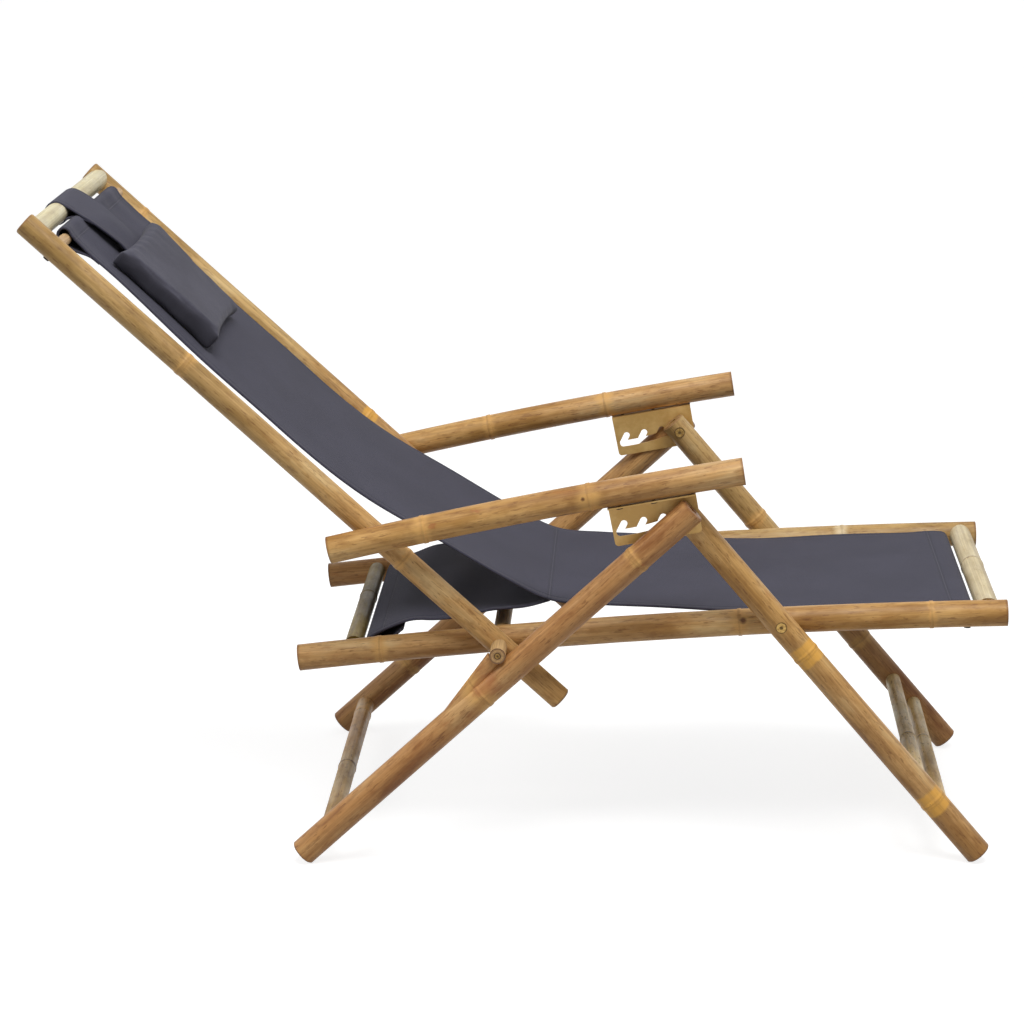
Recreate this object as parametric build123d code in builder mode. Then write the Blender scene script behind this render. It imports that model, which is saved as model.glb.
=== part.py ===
# Bamboo reclining chair with a cloth sling, notched armrest brackets and a head pillow.
# X runs from the head end to the foot end, Z is up, Y goes to the sitter's left.
# The origin is on the floor, under the middle of the chair's length and width.
import os
from math import atan2, cos, degrees, hypot, radians, sin

from build123d import *

os.makedirs("parts", exist_ok=True)

# Culm radii
RAIL_R = 18.0
BACK_R = 16.0
FRONT_LEG_R = 18.0
LEG_R_STEP = -0.5
REAR_LEG_R = FRONT_LEG_R - LEG_R_STEP
ARM_R = 18.3
TOP_RAIL_R = 14.5
FRONT_BAR_R = 15.5
REAR_BAR_R = 12.0
STRETCHER_R = 11.0
REAR_STRETCHER_R = 12.5
DOWEL_R = 11.0
ROD_R = 8.0
TENON_R = 8.0
TENON_BITE = 6.0

# Room left in drilled holes
SIDE_ROOM = 0.05
DEPTH_ROOM = 0.2
HEAD_ROOM = 0.2
SADDLE_ROOM = 0.3

# Node rings, as shares of each straight culm's length and as X on the bowed culms
BACK_NODES = {"right": (0.3, 0.708), "left": (0.43, 0.895)}
FRONT_LEG_NODES = {"right": (0.155, 0.575), "left": (0.32, 0.7)}
REAR_LEG_NODES = {"right": (0.47, 0.86), "left": (0.2, 0.6)}
SEAT_NODES = {"right": (-173.0, 315.0, 573.0), "left": (-60.0, 479.0)}
ARM_NODES = {"right": (-108.0, 112.0), "left": (-47.0, 126.0)}
FRONT_BAR_NODES = (0.54,)
REAR_BAR_NODES = (0.6,)
FRONT_STRETCHER_NODES = {"front_stretcher_upper": (0.4,), "front_stretcher_lower": (0.6,)}
REAR_STRETCHER_NODES = (0.45, 0.88)

# Sideways places of the layers of each side frame
SIDE_GAP = 0.5
RAIL_Y = 223.0
BACK_Y = RAIL_Y + RAIL_R + SIDE_GAP + BACK_R
FRONT_LEG_Y = RAIL_Y + RAIL_R + SIDE_GAP + FRONT_LEG_R
PLATE_T = 2.0
PLATE_Y = FRONT_LEG_Y + FRONT_LEG_R + SIDE_GAP + PLATE_T / 2
REAR_LEG_Y = PLATE_Y + PLATE_T / 2 + SIDE_GAP + REAR_LEG_R
WASHER_T = 4.0
ARM_Y = BACK_Y + BACK_R + WASHER_T + ARM_R

# Pivots in the side plane, as X and Z
DOWEL_PIVOT = (-9.5, 298.5)
SEAT_PIVOT = (369.0, 331.0)
LEG_PIVOT = (236.0, 486.0)

# Back frame, measured along the pole from the dowel
BACK_LEAN = 137.7
BACK_UP = 847.2
BACK_DOWN = 113.0
ARM_PIVOT_UP = 227.5
TOP_RAIL_BELOW = 18.2
TOP_RAIL_UP = BACK_UP - TOP_RAIL_BELOW
TOP_RAIL_FORWARD = 1.0
TOP_ROD_BELOW = 35.0
TOP_ROD_UP = TOP_RAIL_UP - TOP_ROD_BELOW
TOP_ROD_FORWARD = 6.0
TOP_RAIL_PAST = 2.0
POLE_ROUND = 3.5
ROUND_TURNS = [15.0 * step for step in range(7)]

# Seat frame
SEAT_REAR = (-285.0, 267.0)
SEAT_MID = (195.0, 315.4)
SEAT_FRONT = (675.0, 341.0)
FRONT_BAR_INSET = 24.0
FRONT_BAR_X = SEAT_FRONT[0] - FRONT_BAR_INSET
FRONT_ROD_BEHIND = 29.0
FRONT_ROD_X = FRONT_BAR_X - FRONT_ROD_BEHIND
REAR_BAR_INSET = 73.0
REAR_BAR_X = SEAT_REAR[0] + REAR_BAR_INSET
REAR_ROD_AHEAD = 26.0
REAR_ROD_X = REAR_BAR_X + REAR_ROD_AHEAD
REAR_ROD_LIFT = 4.0
FRONT_BAR_LIFT = 2.0
REAR_BAR_LIFT = 5.0
DOWEL_INSET = 2.0

# Legs
LEG_TOP = 17.0
FRONT_LEG_ANGLE = -49.35
REAR_LEG_ANGLE = 222.75
FRONT_STRETCHER_Z = (107.0, 71.0)
REAR_STRETCHER_Z = 47.0
FORK_R = 11.0
FORK_FOOT = (-96.5, 178.7)
FORK_SEAT_GAP = 0.4
FORK_SHORT = 4.0
FORK_MOUTH = 40.0

# Armrests and their notched brackets
ARM_REAR = (-235.0, 437.0)
ARM_MID = (40.0, 499.0)
ARM_FRONT = (315.0, 550.0)
PLATE_REAR = -54.0
PLATE_X = 185.0
PLATE_GAP = 0.7
PLATE_FRONT = 64.0
PLATE_DROP = 58.0
PLATE_SLANT = 1.0
PLATE_CORNER = 5.0
FLANGE_OUT = 26.0
BRACKET_SCREWS = (-38.0, 8.0)
RECLINE = 23.0
ARM_RATIO = 0.78
SLOT_ROOM = 0.6
SLOT_PAST = 3.0
NOTCH_PITCH = 26.5
NOTCH_TILT = 65.0
NOTCH_RISE = 2.0
NOTCHES = 3

# Hardware
BOLT_R = 4.0
BOLT_HOLE_R = BOLT_R + SIDE_ROOM
BOLT_HEAD_R = 7.5
BOLT_HEAD_T = 3.5
BOLT_BITE = 24.0
SCREW_R = 2.5
SCREW_HEAD_R = 4.5
SCREW_HEAD_T = 2.2
SCREW_SINK = 0.8
ROD_SCREW_BITE = 6.0
ARM_SCREW_BITE = 12.0
DOWEL_SCREW_LONG = 29.5
SEAT_BOLT_BITE = 25.0
ARM_BOLT_BITE = 22.3
LEG_BOLT_SINK = 2.9
SEAT_BOLT_SINK = 4.0
WASHER_R = 10.0
CROSS_W = 1.4
CROSS_DEEP = 1.2

# Cloth and pillow
SLING_SIDE_GAP = 3.0
SLING_HALF = RAIL_Y - RAIL_R - SLING_SIDE_GAP
SLING_T = 2.4
HEM_GAP = 0.3
SEAM_X = 57.0
SEAM_OVER = 46.2
SEAM_GAP = 0.5
# Places along the back sling, as shares of the way up to its rod, and forward of the pole
BACK_SLING_SHARES = (0.744, 0.473, 0.222)
BACK_SLING_UP = [share * TOP_ROD_UP for share in BACK_SLING_SHARES]
BACK_SLING_FORWARD = (12.0, 8.8, 35.2)
# Places along the seat sling and the tail, as shares from the seam and from the rear rod, and a rise
SEAT_SLING_SHARES = (0.252, 0.5, 0.748)
SEAT_SLING_RISE = (-11.2, -13.4, -7.6)
TAIL_SHARES = (0.189, 0.354, 0.667, 0.963)
TAIL_RISE = (10.8, 6.7, -4.8, -3.9)
STRAP_HALF = 66.0
STRAP_T = 1.6
PILLOW_HALF = 140.0
PILLOW_Y = -30.0
PILLOW_TALL = 188.0
PILLOW_DROP = 94.0
PILLOW_HIGH = TOP_RAIL_UP - PILLOW_DROP
PILLOW_LOW = PILLOW_HIGH - PILLOW_TALL
PILLOW_T = 28.0
PILLOW_LIFT = 0.3
PILLOW_WAIST = 7.0
PILLOW_EDGE_DIP = (6.0, 2.0)
PILLOW_SHOULDER = (0.72, 0.76)
PILLOW_PEAK = (1.0, 1.07)
PILLOW_CROWN_PAST = 5.0
COVER_T = 1.5
FILL_ROOM = 0.3
STRAP_ROOM = 0.4
STRAP_BULGE_UP = TOP_RAIL_UP - PILLOW_DROP / 2
STRAP_BULGE_FORWARD = 25.0

NODE_RISE = 0.8
NODE_HALF = 5.0
CULM_BORE = 0.36
BORE_DEEP = 40.0
END_EASE = 1.8


def turn(point, angle, length):
    """Place reached from a point at an angle in the side plane."""
    return (point[0] + length * cos(radians(angle)), point[1] + length * sin(radians(angle)))


def swing(point, centre, angle):
    """Point turned about a centre in the side plane, anticlockwise seen from the right side."""
    dx, dz = point[0] - centre[0], point[1] - centre[1]
    c, s = cos(radians(angle)), sin(radians(angle))
    return (centre[0] + c * dx - s * dz, centre[1] + s * dx + c * dz)


def up_back(distance, forward=0.0):
    """Place on the back, along the pole from the dowel and forward of its axis."""
    return turn(turn(DOWEL_PIVOT, BACK_LEAN, distance), BACK_LEAN - 90, forward)


def line_x(point, angle, z):
    """X at which a line through a point reaches a height."""
    return point[0] + (z - point[1]) / sin(radians(angle)) * cos(radians(angle))


def foot_height(radius, angle):
    """Height of a leg's end centre when the eased rim of its square-cut end meets the floor."""
    across, along = abs(cos(radians(angle))), abs(sin(radians(angle)))
    return max((radius - END_EASE) * across, radius * across - END_EASE * along)


def arc_centre(a, b, c):
    """Centre of the circle through three places in the side plane."""
    d = 2 * (a[0] * (b[1] - c[1]) + b[0] * (c[1] - a[1]) + c[0] * (a[1] - b[1]))
    sa, sb, sc = (p[0] ** 2 + p[1] ** 2 for p in (a, b, c))
    x = (sa * (b[1] - c[1]) + sb * (c[1] - a[1]) + sc * (a[1] - b[1])) / d
    z = (sa * (c[0] - b[0]) + sb * (a[0] - c[0]) + sc * (b[0] - a[0])) / d
    return (x, z)


def arc_z(a, b, c, x):
    """Height of an upward-bowed arc at X."""
    centre = arc_centre(a, b, c)
    radius = hypot(a[0] - centre[0], a[1] - centre[1])
    return centre[1] + (radius ** 2 - (x - centre[0]) ** 2) ** 0.5


def arc_angle(a, b, c, x):
    """Slope of an upward-bowed arc at X, in degrees."""
    centre = arc_centre(a, b, c)
    return degrees(atan2(arc_z(a, b, c, x) - centre[1], x - centre[0])) - 90


def seat_z(x):
    """Height of the seat rails' axis at X."""
    return arc_z(SEAT_REAR, SEAT_MID, SEAT_FRONT, x)


def arm_z(x):
    """Height of the armrests' axis at X."""
    return arc_z(ARM_REAR, ARM_MID, ARM_FRONT, x)


def at(point, y):
    """Place in space from a side-plane place and a Y."""
    return Vector(point[0] - MID_X, y, point[1])


def between(a, b, share, rise):
    """Place on the line from one side-plane place to another, raised from it."""
    return (a[0] + share * (b[0] - a[0]), a[1] + share * (b[1] - a[1]) + rise)


def rod(start, end, radius, mode=Mode.ADD):
    """Plain round rod between two places, added to the open part."""
    axis = (end - start).normalized()
    with BuildSketch(Plane(origin=start, z_dir=axis)) as end_circle:
        Circle(radius)
    extrude(end_circle.sketch, amount=(end - start).length, dir=axis, mode=mode)


def round_end(length, radius, rounding, angle):
    """Place on the rounded rim of a pole, along it and out from its axis."""
    turned = radians(angle)
    return (length - rounding * (1 - sin(turned)), radius - rounding * (1 - cos(turned)))


def culm(start, end, radius, nodes=(), bores=True, rounding=0.0):
    """Straight bamboo culm with raised nodes and hollow ends, or a round top, added to the open part."""
    axis = (end - start).normalized()
    length = (end - start).length
    bore = CULM_BORE * radius
    side = axis.cross(Vector(0, 1, 0)) if abs(axis.Y) < 0.9 else axis.cross(Vector(1, 0, 0))
    points = [(0, bore), (0, radius - END_EASE), (END_EASE, radius)]
    for share in nodes:
        middle = share * length
        points += [(middle - NODE_HALF, radius), (middle - NODE_HALF / 3, radius + NODE_RISE)]
        points += [(middle + NODE_HALF / 3, radius + NODE_RISE), (middle + NODE_HALF, radius)]
    if rounding:
        points += [round_end(length, radius, rounding, angle) for angle in ROUND_TURNS] + [(length, 0)]
    else:
        points += [(length - END_EASE, radius), (length, radius - END_EASE), (length, bore)]
        points += [(length - BORE_DEEP, bore), (length - BORE_DEEP, 0)]
    points += [(BORE_DEEP, 0), (BORE_DEEP, bore)]
    if not bores:
        points = points[1:-5] + [(length, 0), (0, 0)]
    plane = Plane(origin=start, x_dir=axis, z_dir=axis.cross(side))
    with BuildSketch(plane) as outline:
        with BuildLine():
            Polyline(*points, close=True)
        make_face()
    revolve(outline.sketch, axis=Axis(start, axis))


def bowed_culm(rear, mid, front, y, radius, node_xs):
    """Slightly bowed bamboo culm with raised nodes and hollow ends, added to the open part."""
    with BuildLine() as path:
        ThreePointArc(at(rear, y), at(mid, y), at(front, y))
    wire = path.wire()
    with BuildSketch(Plane(origin=wire @ 0, z_dir=wire % 0)) as section:
        Circle(radius)
    sweep(section.sketch, path=wire)
    for x in node_xs:
        slope = arc_angle(rear, mid, front, x)
        middle = (x, arc_z(rear, mid, front, x))
        low, high = turn(middle, slope, -NODE_HALF / 2), turn(middle, slope, NODE_HALF / 2)
        rod(at(low, y), at(high, y), radius + NODE_RISE)
    for spot, toward in ((wire @ 0, wire % 0), (wire @ 1, (wire % 1) * -1)):
        rod(spot, spot + toward * BORE_DEEP, CULM_BORE * radius, Mode.SUBTRACT)


def side_hole(point, y_from, y_to, radius):
    """Round sideways hole through the open part."""
    rod(at(point, y_from), at(point, y_to), radius, Mode.SUBTRACT)


def screw_hole(outside, seat, tip):
    """Drilled hole with a recess for a screw's head, cut from the open part."""
    rod(outside, tip, SCREW_R + SIDE_ROOM, Mode.SUBTRACT)
    rod(outside, seat, SCREW_HEAD_R + HEAD_ROOM, Mode.SUBTRACT)


def screw(head, seat, tip):
    """Plain round-headed screw, added to the open part."""
    rod(head, seat, SCREW_HEAD_R)
    rod(seat, tip, SCREW_R)


def cross_recess(point, y_face, inward):
    """Cross recess in a screw head whose face lies at Y."""
    for angle in (0, 90):
        plane = Plane(origin=at(point, y_face), x_dir=(1, 0, 0), z_dir=(0, inward, 0))
        with BuildSketch(plane) as slot:
            Rectangle(SCREW_HEAD_R * 1.1, CROSS_W, rotation=angle + 20)
        extrude(slot.sketch, amount=CROSS_DEEP, mode=Mode.SUBTRACT)


def bolt(point, y_head, y_tip, head_r=BOLT_HEAD_R, head_t=BOLT_HEAD_T, shank=BOLT_R):
    """Sideways bolt with a cross-head, added to the open part; the head's face lies at y_head."""
    inward = 1 if y_tip > y_head else -1
    rod(at(point, y_head), at(point, y_head + inward * head_t), head_r)
    rod(at(point, y_head + inward * head_t), at(point, y_tip), shank)
    cross_recess(point, y_head, inward)


def crossbar(point, radius, reach, rail_r, rail_y, slope, nodes=(), tenon=TENON_R):
    """Bamboo crossbar between two side poles: saddle-cut shoulders and a tenon at each end."""
    culm(at(point, -rail_y), at(point, rail_y), radius, nodes, bores=False)
    for y in (-rail_y, rail_y):
        low, high = turn(point, slope, -4 * rail_r), turn(point, slope, 4 * rail_r)
        rod(at(low, y), at(high, y), rail_r + SADDLE_ROOM, Mode.SUBTRACT)
    rod(at(point, -reach), at(point, reach), tenon)


def mortise(point, y_in, y_out, radius):
    """Blind sideways mortise for a tenon."""
    side_hole(point, y_in, y_out, radius + SIDE_ROOM)


def band(points, thickness, y_half, y_mid=0.0):
    """Cloth strip along arcs given as end, middle, end, middle, end places, added to the open part."""
    upper, lower = [], []
    last = len(points) - 1
    for i, p in enumerate(points):
        before, after = points[max(i - 1, 0)], points[min(i + 1, last)]
        run = hypot(after[0] - before[0], after[1] - before[1])
        nx, nz = -(after[1] - before[1]) / run, (after[0] - before[0]) / run
        upper.append((p[0] + nx * thickness / 2, p[1] + nz * thickness / 2))
        lower.append((p[0] - nx * thickness / 2, p[1] - nz * thickness / 2))
    side_plane = Plane(origin=at((0, 0), y_mid), x_dir=(1, 0, 0), z_dir=(0, -1, 0))
    with BuildSketch(side_plane) as strip:
        with BuildLine():
            for i in range(0, last, 2):
                ThreePointArc(upper[i], upper[i + 1], upper[i + 2])
                ThreePointArc(lower[i], lower[i + 1], lower[i + 2])
            Line(upper[0], lower[0])
            Line(upper[last], lower[last])
        make_face()
    extrude(strip.sketch, amount=y_half, both=True)


def hem(point, y_half):
    """Tube of cloth round a sling rod, added to the open part."""
    rod(at(point, -y_half), at(point, y_half), ROD_R + HEM_GAP + SLING_T)


def hem_bore(point, y_half):
    """Inside of a hem, cleared for its rod."""
    rod(at(point, -y_half - 1), at(point, y_half + 1), ROD_R + HEM_GAP, Mode.SUBTRACT)


# Places that follow from the values above
ARM_PIVOT = up_back(ARM_PIVOT_UP)
TOP_RAIL = up_back(TOP_RAIL_UP, TOP_RAIL_FORWARD)
TOP_ROD = up_back(TOP_ROD_UP, TOP_ROD_FORWARD)
FRONT_ROD = (FRONT_ROD_X, seat_z(FRONT_ROD_X))
REAR_ROD = (REAR_ROD_X, seat_z(REAR_ROD_X) + REAR_ROD_LIFT)
FRONT_BAR = (FRONT_BAR_X, seat_z(FRONT_BAR_X) + FRONT_BAR_LIFT)
REAR_BAR = (REAR_BAR_X, seat_z(REAR_BAR_X) + REAR_BAR_LIFT)
SEAM = (SEAM_X, seat_z(SEAM_X) + SEAM_OVER)
FRONT_FOOT_Z = foot_height(FRONT_LEG_R, FRONT_LEG_ANGLE)
REAR_FOOT_Z = foot_height(REAR_LEG_R, REAR_LEG_ANGLE)
FRONT_FOOT = (line_x(LEG_PIVOT, FRONT_LEG_ANGLE, FRONT_FOOT_Z), FRONT_FOOT_Z)
REAR_FOOT = (line_x(LEG_PIVOT, REAR_LEG_ANGLE, REAR_FOOT_Z), REAR_FOOT_Z)
FRONT_STRETCHERS = [(line_x(LEG_PIVOT, FRONT_LEG_ANGLE, z), z) for z in FRONT_STRETCHER_Z]
REAR_STRETCHER = (line_x(LEG_PIVOT, REAR_LEG_ANGLE, REAR_STRETCHER_Z), REAR_STRETCHER_Z)
SIDES = {"right": -1, "left": 1}

# Ends of the chair along X, and the middle between them
pole_rim = [round_end(BACK_UP, BACK_R, POLE_ROUND, angle) for angle in ROUND_TURNS]
HEAD_END = min(up_back(up, -out)[0] for up, out in pole_rim)
FRONT_SLOPE = arc_angle(SEAT_REAR, SEAT_MID, SEAT_FRONT, SEAT_FRONT[0])
FOOT_END = SEAT_FRONT[0] + RAIL_R * sin(radians(FRONT_SLOPE))
MID_X = (HEAD_END + FOOT_END) / 2


def bolt_in_arm(recline):
    """Place of the leg-top bolt on the armrest as it lies at rest, for a recline angle."""
    pivot = swing(ARM_PIVOT, DOWEL_PIVOT, -recline)
    relative = swing(LEG_PIVOT, pivot, recline - ARM_RATIO * recline)
    return (relative[0] - pivot[0] + ARM_PIVOT[0], relative[1] - pivot[1] + ARM_PIVOT[1])


def plate_place(along, up):
    """Place on the armrest bracket, along the armrest and above its axis."""
    middle = (PLATE_X, arm_z(PLATE_X))
    slope = arc_angle(ARM_REAR, ARM_MID, ARM_FRONT, PLATE_X)
    return turn(turn(middle, slope, along), slope + 90, up)


def keep(part, name):
    """Names a finished piece and writes its STEP file."""
    part.label = name
    export_step(part, f"parts/{name}.step")


# Back frame
top_screw_seat = SCREW_SINK - BACK_R
top_screw_tip = TOP_ROD_FORWARD - ROD_R + ROD_SCREW_BITE
for side, sign in SIDES.items():
    with BuildPart() as back_pole:
        y = sign * BACK_Y
        reach = 2 * BACK_R
        pole_foot, pole_top = at(up_back(-BACK_DOWN), y), at(up_back(BACK_UP), y)
        culm(pole_foot, pole_top, BACK_R, BACK_NODES[side], rounding=POLE_ROUND)
        side_hole(DOWEL_PIVOT, y - reach, y + reach, DOWEL_R + SIDE_ROOM)
        side_hole(ARM_PIVOT, y - reach, y + reach, BOLT_HOLE_R)
        head_seat = y - sign * (BACK_R - BOLT_HEAD_T - 0.3)
        side_hole(ARM_PIVOT, y - sign * reach, head_seat, BOLT_HEAD_R + HEAD_ROOM)
        mortise(TOP_RAIL, y - sign * reach, y + sign * (TOP_RAIL_PAST + DEPTH_ROOM), TOP_RAIL_R)
        mortise(TOP_ROD, y - sign * reach, y + sign * (TENON_BITE + DEPTH_ROOM), ROD_R)
        screw_hole(at(up_back(TOP_ROD_UP, -reach), y), at(up_back(TOP_ROD_UP, top_screw_seat), y),
                   at(up_back(TOP_ROD_UP, top_screw_tip + DEPTH_ROOM), y))
    keep(back_pole.part, f"back_pole_{side}")

with BuildPart() as top_rail:
    rail_end = BACK_Y + TOP_RAIL_PAST
    culm(at(TOP_RAIL, -rail_end), at(TOP_RAIL, rail_end), TOP_RAIL_R)
keep(top_rail.part, "top_rail")

with BuildPart() as upper_sling_rod:
    rod_end = BACK_Y + TENON_BITE
    rod(at(TOP_ROD, -rod_end), at(TOP_ROD, rod_end), ROD_R)
    for y in (-BACK_Y, BACK_Y):
        hole_tip = at(up_back(TOP_ROD_UP, top_screw_tip + DEPTH_ROOM), y)
        rod(at(up_back(TOP_ROD_UP, -BACK_R), y), hole_tip, SCREW_R + SIDE_ROOM, Mode.SUBTRACT)
keep(upper_sling_rod.part, "upper_sling_rod")

with BuildPart() as upper_rod_screws:
    for y in (-BACK_Y, BACK_Y):
        head = at(up_back(TOP_ROD_UP, top_screw_seat - SCREW_HEAD_T), y)
        screw(head, at(up_back(TOP_ROD_UP, top_screw_seat), y), at(up_back(TOP_ROD_UP, top_screw_tip), y))
keep(upper_rod_screws.part, "upper_rod_screws")

# Seat frame
def below_rod(depth):
    """Place under the front sling rod's axis."""
    return (FRONT_ROD[0], FRONT_ROD[1] - depth)


front_screw_seat = RAIL_R - SCREW_SINK
front_screw_tip = ROD_R - ROD_SCREW_BITE
tenon_end = RAIL_Y + TENON_BITE
for side, sign in SIDES.items():
    with BuildPart() as seat_rail:
        y = sign * RAIL_Y
        reach = 2 * RAIL_R
        bowed_culm(SEAT_REAR, SEAT_MID, SEAT_FRONT, y, RAIL_R, SEAT_NODES[side])
        side_hole(DOWEL_PIVOT, y - reach, y + reach, DOWEL_R + SIDE_ROOM)
        bolt_tip = y + sign * (RAIL_R - SEAT_BOLT_BITE - DEPTH_ROOM)
        side_hole(SEAT_PIVOT, y + sign * reach, bolt_tip, BOLT_HOLE_R)
        sockets = [(FRONT_BAR, TENON_R), (REAR_BAR, TENON_R), (FRONT_ROD, ROD_R), (REAR_ROD, ROD_R)]
        for place, size in sockets:
            mortise(place, y - sign * reach, y + sign * (TENON_BITE + DEPTH_ROOM), size)
        screw_hole(at(below_rod(reach), y), at(below_rod(front_screw_seat), y),
                   at(below_rod(front_screw_tip - DEPTH_ROOM), y))
    keep(seat_rail.part, f"seat_rail_{side}")

bars = {
    "front_crossbar": (FRONT_BAR, FRONT_BAR_R, FRONT_BAR_NODES),
    "rear_crossbar": (REAR_BAR, REAR_BAR_R, REAR_BAR_NODES),
}
for name, (place, radius, rings) in bars.items():
    with BuildPart() as bar:
        slope = arc_angle(SEAT_REAR, SEAT_MID, SEAT_FRONT, place[0])
        lift = place[1] - seat_z(place[0])
        crossbar(place, radius, tenon_end, RAIL_R + lift, RAIL_Y, slope, rings)
    keep(bar.part, name)

with BuildPart() as front_sling_rod:
    rod(at(FRONT_ROD, -tenon_end), at(FRONT_ROD, tenon_end), ROD_R)
    for y in (-RAIL_Y, RAIL_Y):
        hole_tip = at(below_rod(front_screw_tip - DEPTH_ROOM), y)
        rod(at(below_rod(RAIL_R), y), hole_tip, SCREW_R + SIDE_ROOM, Mode.SUBTRACT)
keep(front_sling_rod.part, "front_sling_rod")

with BuildPart() as front_rod_screws:
    for y in (-RAIL_Y, RAIL_Y):
        head = at(below_rod(front_screw_seat + SCREW_HEAD_T), y)
        screw(head, at(below_rod(front_screw_seat), y), at(below_rod(front_screw_tip), y))
keep(front_rod_screws.part, "front_rod_screws")

with BuildPart() as rear_sling_rod:
    rod(at(REAR_ROD, -tenon_end), at(REAR_ROD, tenon_end), ROD_R)
keep(rear_sling_rod.part, "rear_sling_rod")

# Dowel through the seat rails and the back poles, with a screw in each end
dowel_end = REAR_LEG_Y + REAR_LEG_R - DOWEL_INSET
with BuildPart() as pivot_dowel:
    rod(at(DOWEL_PIVOT, -dowel_end), at(DOWEL_PIVOT, dowel_end), DOWEL_R)
    for sign in SIDES.values():
        hole_tip = sign * (dowel_end - DOWEL_SCREW_LONG - DEPTH_ROOM)
        side_hole(DOWEL_PIVOT, sign * (dowel_end + 1), hole_tip, SCREW_R + SIDE_ROOM)
        head_seat = sign * (dowel_end - SCREW_HEAD_T)
        side_hole(DOWEL_PIVOT, sign * (dowel_end + 1), head_seat, SCREW_HEAD_R + HEAD_ROOM)
keep(pivot_dowel.part, "pivot_dowel")

with BuildPart() as dowel_end_screws:
    for sign in SIDES.values():
        tip = sign * (dowel_end - DOWEL_SCREW_LONG)
        bolt(DOWEL_PIVOT, sign * dowel_end, tip, SCREW_HEAD_R, SCREW_HEAD_T, SCREW_R)
keep(dowel_end_screws.part, "dowel_end_screws")

# Legs
for side, sign in SIDES.items():
    with BuildPart() as front_leg:
        y = sign * FRONT_LEG_Y
        reach = 2 * FRONT_LEG_R
        leg_top = turn(LEG_PIVOT, FRONT_LEG_ANGLE, -LEG_TOP)
        culm(at(FRONT_FOOT, y), at(leg_top, y), FRONT_LEG_R, FRONT_LEG_NODES[side])
        side_hole(LEG_PIVOT, y - reach, y + reach, BOLT_HOLE_R)
        head_seat = y - sign * (FRONT_LEG_R - LEG_BOLT_SINK)
        side_hole(LEG_PIVOT, y - sign * reach, head_seat, BOLT_HEAD_R + HEAD_ROOM)
        side_hole(SEAT_PIVOT, y - reach, y + reach, BOLT_HOLE_R)
        head_seat = y + sign * (FRONT_LEG_R - SEAT_BOLT_SINK)
        side_hole(SEAT_PIVOT, y + sign * reach, head_seat, BOLT_HEAD_R + HEAD_ROOM)
        for place in FRONT_STRETCHERS:
            mortise(place, y - sign * reach, y + sign * (TENON_BITE + DEPTH_ROOM), TENON_R)
    keep(front_leg.part, f"front_leg_{side}")

for name, place in zip(FRONT_STRETCHER_NODES, FRONT_STRETCHERS):
    with BuildPart() as stretcher:
        crossbar(place, STRETCHER_R, FRONT_LEG_Y + TENON_BITE, FRONT_LEG_R, FRONT_LEG_Y, FRONT_LEG_ANGLE,
                 FRONT_STRETCHER_NODES[name])
    keep(stretcher.part, name)

fork_angle = degrees(atan2(DOWEL_PIVOT[1] - FORK_FOOT[1], DOWEL_PIVOT[0] - FORK_FOOT[0]))
to_dowel = atan2(DOWEL_PIVOT[1] - LEG_PIVOT[1], DOWEL_PIVOT[0] - LEG_PIVOT[0])
mouth_angle = degrees(to_dowel) - 90
seat_r = DOWEL_R + FORK_SEAT_GAP
for side, sign in SIDES.items():
    with BuildPart() as rear_leg:
        y = sign * REAR_LEG_Y
        reach = 2 * REAR_LEG_R
        leg_top = turn(LEG_PIVOT, REAR_LEG_ANGLE, -LEG_TOP)
        culm(at(REAR_FOOT, y), at(leg_top, y), REAR_LEG_R, REAR_LEG_NODES[side])
        rod(at(FORK_FOOT, y), at(turn(DOWEL_PIVOT, fork_angle, -FORK_SHORT), y), FORK_R)
        side_hole(DOWEL_PIVOT, y - reach, y + reach, seat_r)
        mouth_plane = Plane(origin=at((0, 0), y), x_dir=(1, 0, 0), z_dir=(0, -1, 0))
        far = turn(DOWEL_PIVOT, mouth_angle, FORK_MOUTH)
        edges = [(DOWEL_PIVOT, 90), (far, 90), (far, -90), (DOWEL_PIVOT, -90)]
        with BuildSketch(mouth_plane) as mouth:
            with BuildLine():
                corners = [turn(place, mouth_angle + quarter, seat_r) for place, quarter in edges]
                Polyline(*corners, close=True)
            make_face()
        extrude(mouth.sketch, amount=reach, both=True, mode=Mode.SUBTRACT)
        bolt_tip = y + sign * (BOLT_BITE - REAR_LEG_R)
        side_hole(LEG_PIVOT, y - sign * reach, bolt_tip, BOLT_HOLE_R)
        mortise(REAR_STRETCHER, y - sign * reach, y + sign * (TENON_BITE + DEPTH_ROOM), TENON_R)
    keep(rear_leg.part, f"rear_leg_{side}")

with BuildPart() as rear_stretcher:
    crossbar(REAR_STRETCHER, REAR_STRETCHER_R, REAR_LEG_Y + TENON_BITE, REAR_LEG_R, REAR_LEG_Y,
             REAR_LEG_ANGLE, REAR_STRETCHER_NODES)
keep(rear_stretcher.part, "rear_stretcher")

# Armrests with their brackets
arm_screw_tip = ARM_SCREW_BITE - ARM_R
for side, sign in SIDES.items():
    with BuildPart() as armrest:
        y = sign * ARM_Y
        bowed_culm(ARM_REAR, ARM_MID, ARM_FRONT, y, ARM_R, ARM_NODES[side])
        bolt_tip = y + sign * (ARM_BOLT_BITE + DEPTH_ROOM - ARM_R)
        side_hole(ARM_PIVOT, y - sign * 2 * ARM_R, bolt_tip, BOLT_HOLE_R)
        for along in BRACKET_SCREWS:
            hole_tip = at(plate_place(along, arm_screw_tip + DEPTH_ROOM), y)
            rod(at(plate_place(along, -2 * ARM_R), y), hole_tip, SCREW_R + SIDE_ROOM, Mode.SUBTRACT)
    keep(armrest.part, f"armrest_{side}")

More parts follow.
